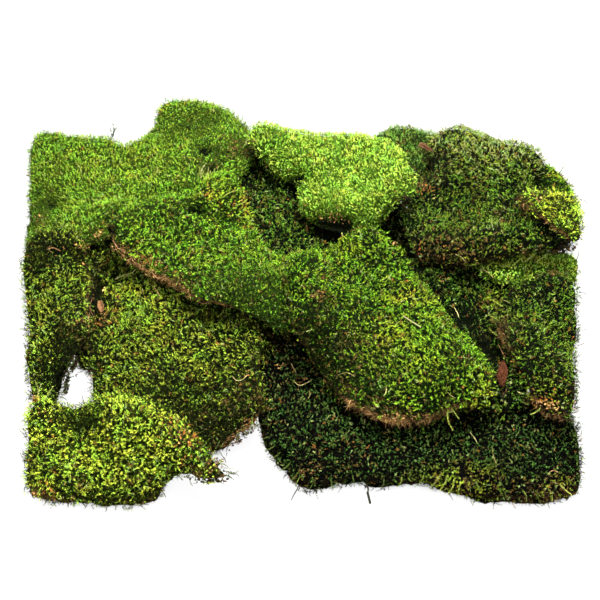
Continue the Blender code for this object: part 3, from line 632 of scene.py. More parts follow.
def rise(values, start, width):
    """0 up to start, and 1 from start + width."""
    return np.clip((values - start) / width, 0, 1)


def fall(values, start, width):
    """1 up to start - width, and 0 from start."""
    return np.clip((start - values) / width, 0, 1)


def patchy(point, size):
    """Noise from about 0 to 1 with patches about size millimetres apart."""
    return 0.5 + 0.9 * noise.noise(point / (size * MM) + Vector((size, 2.0 * size, 0.5)))


def patches_over(mesh, size):
    return np.array([patchy(vertex.co, size) for vertex in mesh.vertices])


def stand_in(piece, node):
    """Puts a piece in the place of a solid."""
    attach(piece, "root")
    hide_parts(node)


# Felt bodies


def heap_tree():
    """All the mats' solids in one search tree."""
    corners, faces = [], []
    for node in MAT_MOSS:
        mesh = frame["nodes"][node].data
        start = len(corners)
        corners += [vertex.co.copy() for vertex in mesh.vertices]
        faces += [[start + i for i in face.vertices] for face in mesh.polygons]
    return BVHTree.FromPolygons(corners, faces)


def relief(point):
    """Height of the tufts and of their grain at a place, in millimetres."""
    x, y, z = point / MM
    tuft = noise.noise(Vector((x / TUFT_SIZE, y / TUFT_SIZE, z / TUFT_SIZE + 3.7)))
    grain = noise.noise(Vector((x / GRAIN_SIZE, y / GRAIN_SIZE, z / GRAIN_SIZE + 9.1)))
    return TUFT_RISE * (1.0 - 2.0 * abs(tuft)) + GRAIN_RISE * grain


def smoothed(node, levels, name):
    """The CAD solid as a finer mesh with rounded edges."""
    bm = bmesh.new()
    bm.from_mesh(frame["nodes"][node].data)
    bmesh.ops.remove_doubles(bm, verts=bm.verts, dist=1e-6)
    coarse = placed(node + "_coarse", plain_mesh(bm, node + "_coarse"))
    fine = coarse.modifiers.new("fine", "SUBSURF")
    fine.levels = fine.render_levels = levels
    shape = bpy.data.meshes.new_from_object(coarse.evaluated_get(bpy.context.evaluated_depsgraph_get()))
    bpy.data.objects.remove(coarse)
    shape.name = name
    return shape


def undercut(place, normal, heap):
    """How far a point of a margin moves in under the mat: only low down, and only where nothing stands before it."""
    across = Vector((normal.x, normal.y, 0.0))
    low = clamped((UNDERCUT_TOP * MM - place.z) / (6.0 * MM))
    if across.length < 0.25 or low == 0.0:
        return Vector((0.0, 0.0, 0.0))
    across.normalize()
    if heap.ray_cast(place + across * 1.5 * MM, across, FREE_REACH * MM)[0] is not None:
        return Vector((0.0, 0.0, 0.0))
    return across * UNDERCUT * low * clamped((0.5 - normal.z) / 0.8) * MM


def felt_body(node, heap):
    """The mat under its shoots: the solid made fine, drawn in by the height of the shoots, and tufted."""
    shape = smoothed(node, 2, "felt_" + node[4:])
    normals = [vertex.normal.copy() for vertex in shape.vertices]
    for vertex, normal in zip(shape.vertices, normals):
        upper = clamped((normal.z + 0.6) / 0.5)
        top = clamped(normal.z / 0.8)
        inset = SIDE_INSET + (TOP_INSET - SIDE_INSET) * top * top
        under = undercut(vertex.co, normal, heap)
        bite = RIM_BITE * (1.0 - top) * max(0.0, patchy(vertex.co, BITE_SIZE) - 0.35) * (2.0 if under.length else 1.0)
        vertex.co += normal * upper * (relief(vertex.co) * (0.4 + 0.6 * top) - inset - bite) * MM
        vertex.co -= under
        vertex.co.z = max(vertex.co.z, 0.0)
    shape.update()
    return placed(shape.name, shape)


def sink(mesh, pit):
    """Lets the felt sink in by the depth of its pits."""
    normals = [vertex.normal.copy() for vertex in mesh.vertices]
    for vertex, normal, depth in zip(mesh.vertices, normals, pit):
        vertex.co -= normal * float(depth) * PIT_DEPTH * MM
        vertex.co.z = max(vertex.co.z, 0.0)
    mesh.update()


SKY_RAYS = [Vector((0.0, 0.0, 1.0))] + [
    Vector((math.cos(math.radians(a)) * math.cos(math.radians(e)),
            math.sin(math.radians(a)) * math.cos(math.radians(e)), math.sin(math.radians(e)))) for a, e in
    ((0, 30), (60, 30), (120, 30), (180, 30), (240, 30), (300, 30), (30, 60), (150, 60), (270, 60))]


def open_sky(felt, heap):
    """For each point of a felt body, the share of the sky above it that no mat covers."""
    shares = []
    for vertex in felt.data.vertices:
        start = vertex.co + vertex.normal * (TOP_INSET + 2.0) * MM
        free = sum(heap.ray_cast(start, ray, OPEN_REACH * MM)[0] is None for ray in SKY_RAYS)
        shares.append(free / len(SKY_RAYS))
    return np.array(shares)


# Shoots


def add_leaf(bm, layers, base, tip, side, low, high, tone, cell):
    """A pointed leaf, widest at its base."""
    corners = [bm.verts.new(base - side), bm.verts.new(base + side), bm.verts.new(tip)]
    for corner, height, u, v in zip(corners, (low, low, high), (0.1, 0.9, 0.5), (0.1, 0.1, 0.9)):
        corner[layers["tip"]] = height
        corner[layers["leaf"]] = tone
        corner[layers["cell_u"]] = (cell % LEAF_COLUMNS + u) / LEAF_COLUMNS
        corner[layers["cell_v"]] = (cell // LEAF_COLUMNS + v) / LEAF_ROWS
    bm.faces.new(corners)


def put_in_stock(bm, name, stock):
    """Keeps a shape that was drawn in millimetres, in its real size, for coats to draw from."""
    mesh = plain_mesh(bm, name)
    for vertex in mesh.vertices:
        vertex.co *= MM
    stock.objects.link(bpy.data.objects.new(name, mesh))


def add_shoot(name, spine, rng, stock, length, width, spread_angle):
    """A leafy shoot: leaves of a length and width set spirally along a curved spine, smaller towards its tip."""
    bm, layers = layered(*LEAF_LAYERS)
    for i in range(LEAVES):
        t = 0.27 + 0.69 * i / (LEAVES - 1)
        base = spine(t)
        along = (spine(t + 0.04) - spine(t - 0.04)).normalized()
        outward = Matrix.Rotation(i * 2.4 + rng.uniform(-0.5, 0.5), 3, along) @ along.orthogonal().normalized()
        lean = math.radians(spread_angle) * (1.15 - 0.6 * t) * rng.uniform(0.75, 1.25)
        reach = length * (1.15 - 0.5 * t) * rng.uniform(0.8, 1.2)
        way = along * math.cos(lean) + outward * math.sin(lean)
        side = Matrix.Rotation(rng.uniform(-0.7, 0.7), 3, way) @ along.cross(outward).normalized()
        tip = base + way * reach - Vector((0.0, 0.0, 0.1 * reach))
        add_leaf(bm, layers, base + outward * 0.1, tip, side * width * (1.1 - 0.45 * t) / 2,
                 t - 0.38, min(1.05, t + 0.24), rng.uniform(0, 1), i)
    put_in_stock(bm, name, stock)


def upright(bend, turn):
    def spine(t):
        return Vector((math.cos(turn) * bend * t * t, math.sin(turn) * bend * t * t, SHOOT_HEIGHT * t))
    return spine


def creeping(length, sway):
    """A shoot that rises and then bends over along x, swaying a little from side to side."""
    def spine(t):
        return Vector((length * t ** 1.5, sway * math.sin(2.6 * t), SHOOT_HEIGHT * (1.5 * t - 0.68 * t * t)))
    return spine


def shoot_bed():
    """The shoots to draw from: upright ones first, then creeping feathery ones."""
    rng = np.random.default_rng(11)
    bed = bpy.data.collections.new("shoots")
    for i in range(KINDS):
        spine = upright(rng.uniform(0.3, 1.8), rng.uniform(0, 2 * math.pi))
        add_shoot(f"a_upright_{i}", spine, rng, bed, length=1.9, width=0.68, spread_angle=56)
    for i in range(KINDS):
        spine = creeping(rng.uniform(2.8, 4.6), rng.uniform(-1.2, 1.2))
        add_shoot(f"b_creeping_{i}", spine, rng, bed, length=1.6, width=0.66, spread_angle=50)
    return bed


def fringe_bed():
    """The long feathery shoots that stick out of a mat's margin."""
    rng = np.random.default_rng(31)
    bed = bpy.data.collections.new("long_shoots")
    for i in range(KINDS):
        spine = creeping(rng.uniform(4.5, 8.0), rng.uniform(-1.5, 1.5))
        add_shoot(f"long_{i}", spine, rng, bed, length=1.7, width=0.8, spread_angle=44)
    return bed


def fibre_bed():
    """The rootlets to draw from: narrow ribbons that bend over and thin to a point."""
    rng = np.random.default_rng(23)
    bed = bpy.data.collections.new("rootlets")
    for i in range(FIBRE_KINDS):
        bm, layers = layered(*LEAF_LAYERS)
        length, bend, sway = rng.uniform(3.0, 6.0), rng.uniform(1.0, 4.0), rng.uniform(-1.5, 1.5)
        rows = []
        for t in (0.0, 0.3, 0.6, 0.85, 1.0):
            middle = Vector((bend * t * t, sway * math.sin(4.0 * t), length * t))
            row = []
            for u, side in ((0.1, -0.5), (0.9, 0.5)):
                corner = bm.verts.new(middle + Vector((0.0, side * FIBRE_WIDTH * (1.05 - t), 0.0)))
                for layer, value in zip(LEAF_LAYERS, (t, 0.5, u, 0.1 + 0.8 * t)):
                    corner[layers[layer]] = value
                row.append(corner)
            rows.append(row)
        for low, high in zip(rows, rows[1:]):
            bm.faces.new((low[0], low[1], high[1], high[0]))
        put_in_stock(bm, f"rootlet_{i}", bed)
    return bed


def sprout_tree():
    """Sets shoots over a felt body: they face out of it and a little upwards, and creep along its swirls."""
    tree = bpy.data.node_groups.new("sprout", "GeometryNodeTree")
    face = tree.interface
    face.new_socket("Geometry", in_out="INPUT", socket_type="NodeSocketGeometry")
    for label, kind in (("Spacing", "Float"), ("Lean", "Float"), ("Lift", "Float"), ("Flow", "Float"),
                        ("Least", "Float"), ("Most", "Float"), ("Creeping", "Float"), ("Seed", "Int"),
                        ("Kinds", "Int"), ("Shoots", "Collection"), ("Look", "Material"), ("Where", "String")):
        face.new_socket(label, in_out="INPUT", socket_type="NodeSocket" + kind)
    face.new_socket("Geometry", in_out="OUTPUT", socket_type="NodeSocketGeometry")
    given = tree.nodes.new("NodeGroupInput").outputs
    result = tree.nodes.new("NodeGroupOutput")

    def node(kind, inputs=None, **settings):
        return add_node(tree, kind, inputs, **settings).outputs[0]

    def named(name):
        return node("GeometryNodeInputNamedAttribute", {"Name": name}, data_type="FLOAT")

    def calc(operation, first, second=0.0):
        return node("ShaderNodeMath", {0: first, 1: second}, operation=operation)

    def vector(operation, inputs):
        return node("ShaderNodeVectorMath", inputs, operation=operation)

    def random_float(low, high, salt):
        return add_node(tree, "FunctionNodeRandomValue", {2: low, 3: high, "Seed": calc("ADD", given["Seed"], salt)},
                        data_type="FLOAT").outputs[1]

    def noise_at(place, size_mm):
        return add_node(tree, "ShaderNodeTexNoise", {"Vector": place, "Scale": 1.0 / (size_mm * MM), "Detail": 1.0})

    crowd = calc("DIVIDE", calc("DIVIDE", CROWDING, given["Spacing"]), given["Spacing"])
    points = add_node(tree, "GeometryNodeDistributePointsOnFaces",
                      {"Mesh": given["Geometry"], "Distance Min": given["Spacing"], "Density Max": crowd,
                       "Density Factor": named(given["Where"]), "Seed": given["Seed"]},
                      distribute_method="POISSON")
    place = node("GeometryNodeInputPosition")
    cluster = noise_at(place, CLUSTER_SIZE).outputs["Fac"]
    flow = vector("SUBTRACT", {0: noise_at(place, FLOW_SIZE).outputs["Color"], 1: (0.5, 0.5, 0.5)})
    line = points.outputs["Points"]
    for label, value, kind in (("shoot", node("GeometryNodeInputIndex"), "INT"),
                               ("rnd", random_float(0.0, 1.0, 1.0), "FLOAT"),
                               ("chance", random_float(0.0, 1.0, 2.0), "FLOAT"), ("cluster", cluster, "FLOAT")):
        line = node("GeometryNodeStoreNamedAttribute", {"Geometry": line, "Name": label, "Value": value},
                    data_type=kind)
    sway = node("FunctionNodeRandomValue", {0: (-1.0, -1.0, -0.5), 1: (1.0, 1.0, 0.5), "Seed": given["Seed"]},
                data_type="FLOAT_VECTOR")
    facing = vector("ADD", {0: points.outputs["Normal"], 1: node("ShaderNodeCombineXYZ", {"Z": given["Lift"]})})
    facing = vector("ADD", {0: facing, 1: vector("SCALE", {0: sway, "Scale": given["Lean"]})})
    facing = vector("ADD", {0: facing, 1: vector("SCALE", {0: flow, "Scale": given["Flow"]})})
    stand = node("FunctionNodeAlignRotationToVector", {"Vector": facing}, axis="Z")
    combed = node("FunctionNodeAlignRotationToVector", {"Rotation": stand, "Vector": flow}, axis="X", pivot_axis="Z")
    spin = node("FunctionNodeAxisAngleToRotation", {"Axis": (0.0, 0.0, 1.0), "Angle": random_float(-1.5, 1.5, 3.0)})
    turned = node("FunctionNodeRotateRotation", {"Rotation": combed, "Rotate By": spin}, rotation_space="LOCAL")
    grown = calc("MULTIPLY", random_float(given["Least"], given["Most"], 4.0), named("tall"))
    grown = calc("MULTIPLY", grown, calc("ADD", 0.55, calc("MULTIPLY", cluster, 0.9)))
    stock = node("GeometryNodeCollectionInfo", {"Collection": given["Shoots"], "Separate Children": True,
                                                "Reset Children": True})
    pick = add_node(tree, "FunctionNodeRandomValue",
                    {4: 0, 5: calc("SUBTRACT", given["Kinds"], 1.0), "Seed": given["Seed"]}, data_type="INT")
    creeps = calc("MULTIPLY", calc("LESS_THAN", random_float(0.0, 1.0, 5.0), given["Creeping"]), given["Kinds"])
    planted = node("GeometryNodeInstanceOnPoints",
                   {"Points": line, "Instance": stock, "Pick Instance": True,
                    "Instance Index": calc("ADD", pick.outputs[2], creeps), "Rotation": turned, "Scale": grown})
    solid = node("GeometryNodeRealizeInstances", {"Geometry": planted})
    dressed = node("GeometryNodeSetMaterial", {"Geometry": solid, "Material": given["Look"]})
    tree.links.new(dressed, result.inputs[0])
    return tree


def grow(tree, felt, name, where, seed, stock, look, tall=1.0, creeping=0.0):
    """Runs the sprout tree on a felt body and returns the coat that grew as a plain mesh object."""
    spacing, lean, lift, flow, least, most, kinds = COATS[where]
    values = {"Spacing": spacing * MM, "Lean": lean, "Lift": lift, "Flow": flow, "Least": least * tall,
              "Most": most * tall, "Creeping": creeping, "Seed": seed, "Kinds": kinds, "Shoots": stock,
              "Look": look, "Where": where}
    modifier = felt.modifiers.new("sprout", "NODES")
    modifier.node_group = tree
    for item in tree.interface.items_tree:
        if item.in_out == "INPUT" and item.name in values:
            modifier[item.identifier] = values[item.name]
    felt.update_tag()
    bpy.context.view_layer.update()
    mesh = bpy.data.meshes.new_from_object(felt.evaluated_get(bpy.context.evaluated_depsgraph_get()))
    felt.modifiers.remove(modifier)
    mesh.name = name
    return placed(name, mesh)


def count_on(mesh, start):
    """Numbers the mesh's shoots on from start and returns the next free number."""
    holder = read_attribute(mesh, "shoot") + start
    mesh.attributes["shoot"].data.foreach_set("value", holder.astype(np.int32))
    return int(holder.max(initial=start - 1)) + 1


def lay_out_cells(mesh):
    """A map named OFBake, in which each shoot has a square cell of its own and each leaf a part of that."""
    holder = read_attribute(mesh, "shoot").astype(int) if len(mesh.vertices) else np.zeros(0, int)
    side = max(1, math.ceil(math.sqrt(holder.max(initial=0) + 1)))
    u = (holder % side + read_attribute(mesh, "cell_u")) / side
    v = (holder // side + read_attribute(mesh, "cell_v")) / side
    corner = np.zeros(len(mesh.loops), int)
    mesh.loops.foreach_get("vertex_index", corner)
    layer = mesh.uv_layers.new(name="OFBake", do_init=False)
    layer.uv.foreach_set("vector", np.stack([u, v], 1)[corner].astype(np.float32).ravel())
    for name in ("shoot", "cell_u", "cell_v"):
        mesh.attributes.remove(mesh.attributes[name])


# Patches


def spread_over(field, label, spot, half_width, half_depth, strength):
    points = field["points"]
    away = ((points[:, 0] - spot.x) / (half_width * MM)) ** 2 + ((points[:, 1] - spot.y) / (half_depth * MM)) ** 2
    field[label] = np.maximum(field[label], strength * np.exp(-0.7 * away))


def apply_patches(fields, heap):
    """Spreads each patch over the mat that its pixel falls on, and each torn margin over its own mat."""
    for label, patches in PATCHES.items():
        for u, v, half_width, half_depth, strength in patches:
            node, spot, _ = seen_at(u, v, heap)
            if node is not None:
                spread_over(fields[node], label, spot, half_width, half_depth, strength)
    for node, places in TORN.items():
        for u, v, reach, strength in places:
            spread_over(fields[node], "fray", seen_at(u, v, heap)[1], reach, reach, strength)


# Litter, in millimetres


STRAND_SIDES = 5
STRAND_STEPS = (0.0, 0.25, 0.5, 0.75)
SPRIG_STEM = 0.20                   # half the width of a sprig's stem
SPRIG_LEAVES = 5                    # leaves on each joint of a sprig
SPRIG_LEAF = 0.20                   # half the width of such a leaf for each millimetre of length
DRAWN_SHARE = 0.7                   # how much of a strand's listed radius is drawn
CRACK_SIZE = 1.5                    # spacing of the cracks in bark
CRACK_STRETCH = 0.25                # they are this narrow for their length


def strand(bm, tone_layer, places, radius, tone):
    """A thin round strand through the places, thinner at its ends."""
    line = []
    for i in range(len(places) - 1):
        before, here, after, beyond = (places[min(len(places) - 1, max(0, i + k))] for k in (-1, 0, 1, 2))
        for t in STRAND_STEPS:
            line.append(0.5 * (2 * here + (after - before) * t + (2 * before - 5 * here + 4 * after - beyond) * t * t
                               + (3 * here - before - 3 * after + beyond) * t ** 3))
    line.append(places[-1])
    rings = []
    for i, place in enumerate(line):
        along = (line[min(i + 1, len(line) - 1)] - line[max(i - 1, 0)]).normalized()
        across = along.cross(Vector((0.0, 0.0, 1.0))).normalized()
        over = across.cross(along)
        share = i / (len(line) - 1)
        size = radius * MM * (0.45 + 0.55 * math.sin(math.pi * (0.1 + 0.8 * share)))
        ring = []
        for side in range(STRAND_SIDES):
            angle = 2 * math.pi * side / STRAND_SIDES
            corner = place + (across * math.cos(angle) + over * math.sin(angle)) * size
            corner.z = max(corner.z, GROUND_GAP * MM)
            ring.append(bm.verts.new(corner))
            ring[-1][tone_layer] = tone
        rings.append(ring)
    for low, high in zip(rings, rings[1:]):
        for side in range(STRAND_SIDES):
            after = (side + 1) % STRAND_SIDES
            bm.faces.new((low[side], high[side], high[after], low[after]))
    bm.faces.new(rings[0])
    bm.faces.new(reversed(rings[-1]))


def finish_litter(bm, name, look):
    bmesh.ops.recalc_face_normals(bm, faces=bm.faces)
    mesh = plain_mesh(bm, name)
    mesh.materials.append(look)
    piece = placed(name, mesh)
    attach(piece, "root")


def lay_strands(heap):
    rng = np.random.default_rng(5)
    for name, (dark, light, slot, strands) in STRANDS.items():
        bm, layers = layered("tone")
        for radius, lift, pixels in strands:
            places = []
            for u, v in pixels:
                _, place, normal = seen_at(u, v, heap)
                places.append(place + normal * (lift + radius) * MM)
                places[-1].z = max(places[-1].z, 1.6 * radius * MM)
            strand(bm, layers["tone"], places, DRAWN_SHARE * radius, rng.uniform(-0.5, 0.4))
        finish_litter(bm, name, stem_material(name, dark, light, size_mm=2.0))


def add_sprig(bm, layers, foot, tip, leaf, tone, rng):
    """A bent stem with narrow leaves all round it, shorter towards its tip."""
    whole = tip - foot
    length = whole.length
    aside = whole.cross(Vector((0.0, 0.0, 1.0))).normalized() * length * rng.uniform(-0.15, 0.15)
    pairs = max(4, round(length / (0.55 * leaf * MM)))
    before = foot
    for i in range(1, pairs + 1):
        t = i / pairs
        place = foot + whole * t + aside * math.sin(math.pi * t)
        along = (place - before).normalized()
        flat = along.orthogonal().normalized()
        thick = flat * SPRIG_STEM * (1.2 - t) * MM
        corners = [(before - thick, 0.1), (before + thick, 0.1), (place + thick, 0.2), (place - thick, 0.2)]
        faces = [corners]
        for _ in range(SPRIG_LEAVES):
            outward = Matrix.Rotation(rng.uniform(0, 2 * math.pi), 3, along) @ flat
            lean = math.radians(rng.uniform(32, 62))
            way = along * math.cos(lean) + outward * math.sin(lean)
            side = along.cross(outward).normalized() * SPRIG_LEAF * leaf * MM
            reach = way * leaf * (1.15 - 0.45 * t) * rng.uniform(0.7, 1.2) * MM
            faces.append([(place - side, 0.2), (place + side, 0.2), (place + reach, 1.0)])
        for face in faces:
            made = []
            for corner, height in face:
                corner.z = max(corner.z, GROUND_GAP * MM)
                made.append(bm.verts.new(corner))
                made[-1][layers["tone"]] = tone + rng.uniform(-0.08, 0.08)
                made[-1][layers["tip"]] = height
            bm.faces.new(made)
        before = place


def stand_sprigs(heap):
    rng = np.random.default_rng(41)
    right, up, _ = camera_axes()
    pixel = FIELD_WIDTH / IMAGE * MM
    bm, layers = layered("tone", "tip")
    for foot_u, foot_v, tip_u, tip_v, leaf, tone in SPRIGS:
        _, foot, normal = seen_at(foot_u, foot_v, heap)
        across = right * (tip_u - foot_u) * pixel
        way = up if tip_v < foot_v else Vector((0.0, 1.0, 1.0)) / (up.y + up.z)
        tip = foot + across + way * (foot_v - tip_v) * pixel + Vector((0.0, 0.0, 0.5 * MM))
        add_sprig(bm, layers, foot - normal * 0.5 * MM, tip, leaf, tone, rng)
    finish_litter(bm, "sprigs", sprig_material())


def scatter_crumbs(heap):
    """Crumbs of bark, peat and dead leaf: small irregular grains, some of them flat flakes."""
    rng = np.random.default_rng(17)
    bm, layers = layered("tone")
    for u, v, half_width, half_height, number, size, tone in CRUMBS:
        for _ in range(number):
            angle, reach = rng.uniform(0, 2 * math.pi), math.sqrt(rng.uniform(0, 1))
            _, place, normal = seen_at(u + half_width * reach * math.cos(angle),
                                       v + half_height * reach * math.sin(angle), heap)
            grain = size * rng.uniform(0.7, 1.7)
            long, wide = grain * rng.uniform(0.7, 1.4), grain * rng.uniform(0.4, 0.8)
            flat = grain * rng.uniform(0.15, 0.6)
            turn = Matrix.Rotation(rng.uniform(0, 2 * math.pi), 3, "Z")
            stand = normal.to_track_quat("Z", "Y").to_matrix() @ Matrix.Rotation(rng.uniform(-0.7, 0.7), 3, "X")
            made = bmesh.ops.create_icosphere(bm, subdivisions=1, radius=0.5)["verts"]
            own = tone + rng.uniform(-0.3, 0.3)
            for corner in made:
                shape = corner.co * rng.uniform(0.75, 1.25)
                shape = stand @ turn @ Vector((shape.x * long, shape.y * wide, shape.z * flat))
                corner.co = place + (shape + normal * (0.5 + 0.4 * flat)) * MM
                corner.co.z = max(corner.co.z, 0.05 * MM)
                corner[layers["tone"]] = own
    finish_litter(bm, "crumbs", crumb_material())


# Build


def join(pieces, name):
    """Makes one piece of several."""
    with bpy.context.temp_override(active_object=pieces[0], selected_editable_objects=pieces,
                                   selected_objects=pieces, object=pieces[0]):
        bpy.ops.object.join()
    pieces[0].name = pieces[0].data.name = name
    return pieces[0]


def survey(node, heap):
    """A mat's felt body, and for each of its points how much shade is painted there and how many odd shoots grow
    there.
    """
    felt = felt_body(node, heap)
    facing = np.array([vertex.normal.z for vertex in felt.data.vertices])
    count = len(facing)
    sky = open_sky(felt, heap)
    hidden, side = fall(sky, 0.85, 0.6), fall(facing, 0.55, 0.6)
    arid = ARID_DRY * np.maximum(0.0, patches_over(felt.data, DRY_SIZE) - 0.45)
    # The deep field is painted shade: darker leaves where mats hide the sky and on steep sides, less of it in mats
    # that get more light
    return felt, dict(
        points=places_of(felt.data).reshape(-1, 3), sky=sky, facing=facing,
        dry=DRY_SHARE + arid + (HIDDEN_DRY * hidden + SIDE_DRY * side), rust=np.full(count, RUST_SHARE),
        pale=np.full(count, PALE_SHARE), fresh=np.zeros(count), fray=np.zeros(count),
        deep=np.maximum(HIDDEN_SHADE * hidden, SIDE_SHADE * side) * LIT_MATS.get(node, 1.0))


def mark(mesh, field, pit):
    """Writes on a felt body where moss, rootlets and fringe grow, how tall they are and what colours they take."""
    facing, fray = field["facing"], field["fray"]
    torn = np.clip(1.0 - np.abs(facing) / 0.75, 0, 1)
    seen = rise(field["sky"], 0.05, 0.1)
    margin = fall(facing, 0.97, 0.35)
    bald = fall(patches_over(mesh, BALD_SIZE), 0.55, 0.2)
    thin = np.clip(torn * 0.4 * bald + (torn + margin) * 0.9 * fray, 0, 1)
    bare = 0.75 * rise(pit, 0.55, 0.3)
    groups = np.maximum(0.1, rise(patches_over(mesh, FRINGE_SIZE), 0.3, 0.3))
    stand = 0.8 + 0.4 * patches_over(mesh, HEIGHT_SIZE)
    marks = dict(
        moss=rise(facing, -0.85, 0.3) * seen * (1.0 - thin) * (1.0 - bare),
        rootlets=seen * np.clip(0.07 * torn + (2.0 * torn + margin) * fray, 0, 1),
        fringe=seen * fall(facing, 0.8, 0.5) * groups * (1.0 - 0.7 * thin), torn=torn,
        tall=(0.75 + 0.25 * np.clip(facing, 0, 1)) * stand * (1.0 - 0.3 * pit))
    for label in ("dry", "rust", "fresh", "pale", "deep", "fray"):
        marks[label] = field[label]
    for label, values in marks.items():
        put_attribute(mesh, label, values)


def build_mats(searches):
    heap = heap_tree()
    tint = leaf_tint_group()
    sprout = sprout_tree()
    bed, long_bed, rootlets = shoot_bed(), fringe_bed(), fibre_bed()
    frays, fibre_look, counted = [], fibre_material(), 0
    moss_looks = {kind: moss_material(kind, tint) for kind in MOSSES}
    felt_looks = {kind: felt_material(kind) for kind in MOSSES}
    bodies, fields = {}, {}
    for node in MAT_MOSS:
        bodies[node], fields[node] = survey(node, heap)
    shades = {node: field["deep"].copy() for node, field in fields.items()}
    apply_patches(fields, searches)
    for number, (node, kind) in enumerate(MAT_MOSS.items()):
        felt, field, look = bodies[node], fields[node], moss_looks[kind]
        seed, tall, plain_name = 31 * number + 7, MOSSES[kind]["tall"], node[4:]
        pit = field["deep"] - shades[node]
        sink(felt.data, pit)
        mark(felt.data, field, pit)
        shoots = grow(sprout, felt, "shoots_" + plain_name, "moss", seed, bed, look, tall, MOSSES[kind]["feather"])
        long_shoots = grow(sprout, felt, "fringe_" + plain_name, "fringe", seed + 1, long_bed, look, tall)
        count_on(long_shoots.data, count_on(shoots.data, 0))
        shoots = join([shoots, long_shoots], "shoots_" + plain_name)
        fray = grow(sprout, felt, "rootlets_" + plain_name, "rootlets", seed + 2, rootlets, fibre_look)
        keep_off_ground(fray.data)
        counted = count_on(fray.data, counted)
        frays.append(fray)
        keep_off_ground(shoots.data)
        lay_out_cells(shoots.data)
        felt.data.materials.append(felt_looks[kind])
        for piece in (felt, shoots):
            stand_in(piece, node)
    for stock in list(bed.objects) + list(long_bed.objects) + list(rootlets.objects):
        bpy.data.objects.remove(stock)
    fringe = join(frays, "rootlets")
    lay_out_cells(fringe.data)
    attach(fringe, "root")


def weathered(node, look, grain_axis, depth, narrowing):
    """A piece of bark made fine, cracked along its grain and narrower at its ends, in place of its solid."""
    shape = smoothed(node, 3, "weathered_" + node)
    finer = Matrix.Diagonal((1.0 / CRACK_SIZE,) * 3)
    along = Matrix.Rotation(math.radians(grain_axis), 3, "Z")
    squash = Matrix.Diagonal((CRACK_STRETCH, 1.0, 1.0))
    normals = [vertex.normal.copy() for vertex in shape.vertices]
    grain = along.inverted() @ Vector((1.0, 0.0, 0.0))
    centre = sum((vertex.co for vertex in shape.vertices), Vector()) / len(shape.vertices)
    reach = max(abs((vertex.co - centre).dot(grain)) for vertex in shape.vertices)
    for vertex, normal in zip(shape.vertices, normals):
        share = (vertex.co - centre).dot(grain) / reach
        aside = vertex.co - centre - grain * share * reach
        vertex.co -= aside * narrowing * share ** 2
        place = squash @ along @ finer @ (vertex.co / MM)
        crack = 1.0 - 2.0 * abs(noise.noise(place)) - 0.8 * abs(noise.noise(2.1 * place + Vector((5.0, 1.0, 3.0))))
        vertex.co += normal * depth * (crack - 0.6) * MM
    shape.update()
    shape.materials.append(look)
    stand_in(placed(shape.name, shape), node)


def dress_litter():
    red_bark = stem_material("red_bark", (0.004, 0.002, 0.001), (0.110, 0.032, 0.011), size_mm=0.9)
    brown_bark = stem_material("brown_bark", (0.006, 0.003, 0.001), (0.190, 0.092, 0.038), size_mm=0.9)
    weathered("bark_curl", red_bark, grain_axis=99.0, depth=1.2, narrowing=0.6)
    weathered("bark_chip", brown_bark, grain_axis=35.0, depth=1.1, narrowing=0.4)
    looks = {
        "leaf_scrap": stem_material("dead_leaf", (0.110, 0.050, 0.020), (0.270, 0.140, 0.062), size_mm=2.0),
        "pale_needle": stem_material("straw", (0.240, 0.210, 0.100), (0.440, 0.410, 0.210), size_mm=3.0),
        "twig": stem_material("dark_twig", (0.004, 0.004, 0.002), (0.022, 0.024, 0.008), size_mm=1.5),
    }
    for node, look in looks.items():
        piece = frame["nodes"][node]
        piece.data.materials.clear()
        piece.data.materials.append(look)


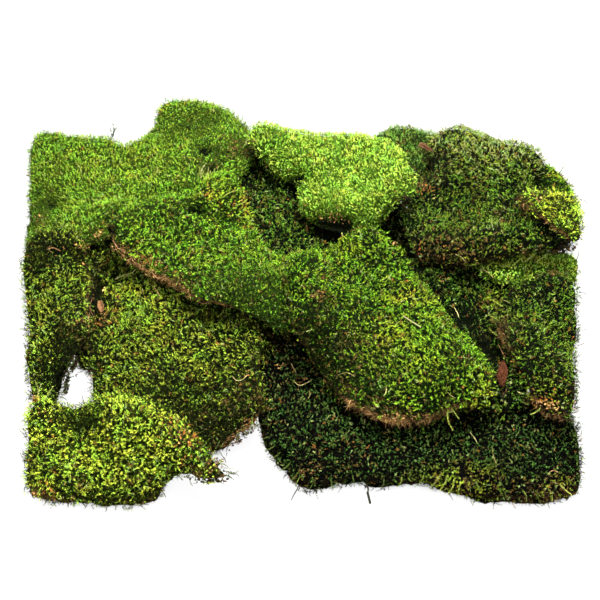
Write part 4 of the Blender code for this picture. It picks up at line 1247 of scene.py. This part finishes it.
def floor():
    bpy.ops.mesh.primitive_plane_add(size=6.0, location=(0.0, 0.0, -FLOOR_DROP))
    ground = bpy.context.object
    ground.name = "floor"
    mat, tree, shader = new_material("white_ground", roughness=0.9, specular=0.5)
    shader.inputs["Base Color"].default_value = (0.08, 0.08, 0.08, 1.0)
    # Painted shade: the ground's glow fades in nooks, where things stand near it
    nook = add_node(tree, "ShaderNodeAmbientOcclusion", {"Distance": NOOK_REACH}, samples=6)
    open_ground = smooth_step(tree, nook.outputs["AO"], 0.14, 0.40)
    shader.inputs["Emission Color"].default_value = (1.0, 1.0, 1.0, 1.0)
    tree.links.new(math_node(tree, "MULTIPLY", open_ground, GROUND_GLOW), shader.inputs["Emission Strength"])
    ground.data.materials.append(mat)


def light(name, azimuth, elevation, energy, size, colour):
    """A soft lamp that faces the clump, azimuth 0 being behind the camera and 180 behind the clump."""
    data = bpy.data.lights.new(name, "AREA")
    data.energy = energy
    data.size = size
    data.color = colour
    lamp = placed(name, data)
    a, e = math.radians(azimuth), math.radians(elevation)
    away = Vector((math.sin(a) * math.cos(e), -math.cos(a) * math.cos(e), math.sin(e)))
    lamp.location = away * LAMP_DISTANCE
    lamp.rotation_euler = away.to_track_quat("Z", "Y").to_euler()


def studio():
    world = bpy.data.worlds.new("studio")
    bpy.context.scene.world = world
    world.use_nodes = True
    sky = world.node_tree.nodes["Background"]
    sky.inputs["Color"].default_value = (1.0, 1.0, 1.0, 1.0)
    sky.inputs["Strength"].default_value = SKY_STRENGTH
    for name, values in LAMPS.items():
        light(name, *values)
    bpy.context.scene.view_settings.view_transform = "Standard"


def camera():
    right, up, back = camera_axes()
    data = bpy.data.cameras.new("camera")
    data.sensor_width = SENSOR_WIDTH
    data.lens = SENSOR_WIDTH * CAMERA_DISTANCE / FIELD_WIDTH
    data.clip_start = 0.05
    data.clip_end = 20.0
    view = placed("camera", data)
    view.matrix_world = Matrix((
        (right.x, up.x, back.x, 0.0), (right.y, up.y, back.y, 0.0), (right.z, up.z, back.z, 0.0),
        (0.0, 0.0, 0.0, 1.0)))
    view.location = (CAMERA_TARGET + back * CAMERA_DISTANCE) * MM
    bpy.context.scene.camera = view


camera()
studio()
floor()
solids = {node: BVHTree.FromObject(frame["nodes"][node], bpy.context.evaluated_depsgraph_get()) for node in MAT_MOSS}
build_mats(solids)
lay_strands(solids)
stand_sprigs(solids)
scatter_crumbs(solids)
dress_litter()
